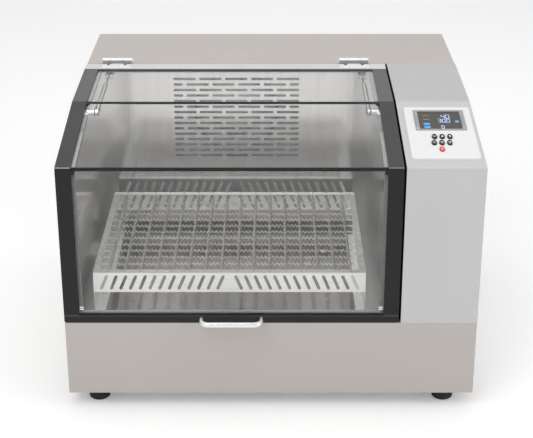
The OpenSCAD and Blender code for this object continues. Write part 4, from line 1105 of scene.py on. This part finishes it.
class SHAKER_OT_set_stage(bpy.types.Operator):
    """Sets the pale floor and backdrop, the soft lamps and the camera"""

    bl_idname = "shaker.set_stage"
    bl_label = "Floor, Lamps and Camera"

    def execute(self, context):
        stage = context.scene.shaker_stage
        self.floor()
        self.sky(context, stage.sky)
        for name, (place, side, share) in LAMPS.items():
            self.lamp(name, place, side, stage.key_light * share)
        camera = bpy.data.objects.new("camera", bpy.data.cameras.new("camera"))
        context.scene.collection.objects.link(camera)
        camera.location = CAMERA_PLACE
        camera.rotation_euler = (math.radians(CAMERA_TILT), 0.0, 0.0)
        camera.data.sensor_width = 36.0
        camera.data.lens = stage.lens
        camera.data.shift_x = CAMERA_SHIFT
        context.scene.camera = camera
        context.scene.view_settings.view_transform = "Standard"
        return {"FINISHED"}

    @staticmethod
    def floor():
        """A flat square that turns up into a wall at the back along a quarter circle."""
        half, start, radius = 6.0, 2.6, 1.2
        turn = np.linspace(0.0, math.pi / 2, 13)
        y = np.concatenate([[-half], start + radius * np.sin(turn), [start + radius]])
        z = np.concatenate([[0.0], radius - radius * np.cos(turn), [half]])
        x = np.repeat([-half, half], len(y))
        points = np.stack([x, np.tile(y, 2), np.tile(z, 2)], axis=-1)
        i = np.arange(len(y) - 1)
        faces = np.stack([i, i + len(y), i + 1 + len(y), i + 1], axis=-1)
        f = Finish("floor_paper", (0.9, 0.9, 0.9), 0.9)
        f.tint(f.noise(2.0, 3.0), 0.99, 1.01)
        seen = f.node("LightPath").outputs["Is Camera Ray"]
        f.set("Emission Color", (1.0, 1.0, 1.0, 1.0))
        f.set("Emission Strength", f.calc("MULTIPLY", seen, 0.22))
        mesh_object("floor", points, faces, f.material)

    @staticmethod
    def sky(context, strength):
        """World light: even and white on the machine, pale to grey upwards where metal and glass
        mirror it, and pale grey to the camera and through glass."""
        world = bpy.data.worlds.new("studio")
        context.scene.world = world
        world.use_nodes = True
        w = Nodes(world.node_tree)
        even = w.nodes["Background"]
        w.feed(even.inputs["Color"], (1.0, 1.0, 1.0, 1.0))
        w.feed(even.inputs["Strength"], strength)
        parts = w.node("SeparateXYZ", Vector=w.node("TexCoord").outputs["Generated"])
        ramp = w.node("ValToRGB", Fac=parts.outputs["Z"])
        low, high = ramp.color_ramp.elements
        low.color = (0.92, 0.92, 0.92, 1.0)
        high.position = 0.85
        high.color = (0.45, 0.45, 0.46, 1.0)
        mirrored = w.node("Background", Color=ramp.outputs["Color"])
        seen = w.node("Background", Color=(0.8, 0.8, 0.8, 1.0))
        ray = w.node("LightPath").outputs
        lit = w.blend(ray["Is Glossy Ray"], even.outputs[0], mirrored.outputs[0])
        direct = w.calc("MAXIMUM", ray["Is Camera Ray"], ray["Is Transmission Ray"])
        w.feed(w.nodes["World Output"].inputs["Surface"], w.blend(direct, lit, seen.outputs[0]))

    @staticmethod
    def lamp(name, place, side, power):
        """A large square lamp that faces the middle of the machine."""
        data = bpy.data.lights.new(name, "AREA")
        data.size = side
        data.energy = power
        lamp = bpy.data.objects.new(name, data)
        bpy.context.scene.collection.objects.link(lamp)
        lamp.location = place
        aim = np.array([0.0, 0.0, LAMP_AIM]) - np.array(place)
        aim /= np.linalg.norm(aim)
        lamp.rotation_euler = (math.acos(-aim[2]), 0.0, math.atan2(aim[0], -aim[1]) + math.pi)


# Panel and registration


OPERATORS = (
    SHAKER_OT_dress_cabinet,
    SHAKER_OT_dress_chamber,
    SHAKER_OT_dress_lid,
    SHAKER_OT_fit_small_metal,
    SHAKER_OT_dress_rack,
    SHAKER_OT_wind_springs,
    SHAKER_OT_dress_controls,
    SHAKER_OT_light_display,
    SHAKER_OT_mark_keys,
    SHAKER_OT_dress_inside,
    SHAKER_OT_set_stage,
)
SETTINGS = {
    "shaker_finish": ShakerFinishSettings,
    "shaker_springs": ShakerSpringSettings,
    "shaker_display": ShakerDisplaySettings,
    "shaker_stage": ShakerStageSettings,
}


class SHAKER_PT_looks(bpy.types.Panel):
    """Lists the settings and the steps that dress the shaker"""

    bl_idname = "SHAKER_PT_looks"
    bl_label = "Benchtop Shaker"
    bl_space_type = "VIEW_3D"
    bl_region_type = "UI"
    bl_category = "Shaker"

    def draw(self, context):
        for held in SETTINGS:
            settings = getattr(context.scene, held)
            box = self.layout.box()
            for name in settings.__annotations__:
                box.prop(settings, name)
        for operator in OPERATORS:
            self.layout.operator(operator.bl_idname)


CLASSES = (*SETTINGS.values(), *OPERATORS, SHAKER_PT_looks)


def register():
    """Adds the settings, the steps and the panel to Blender."""
    for c in CLASSES:
        bpy.utils.register_class(c)
    for name, settings in SETTINGS.items():
        setattr(bpy.types.Scene, name, PointerProperty(type=settings))


def unregister():
    """Takes them out again."""
    for name in SETTINGS:
        delattr(bpy.types.Scene, name)
    for c in reversed(CLASSES):
        bpy.utils.unregister_class(c)


def main():
    """Dresses the machine step by step."""
    register()
    for operator in OPERATORS:
        family, _, name = operator.bl_idname.partition(".")
        getattr(getattr(bpy.ops, family), name)()


if __name__ == "__main__":
    main()
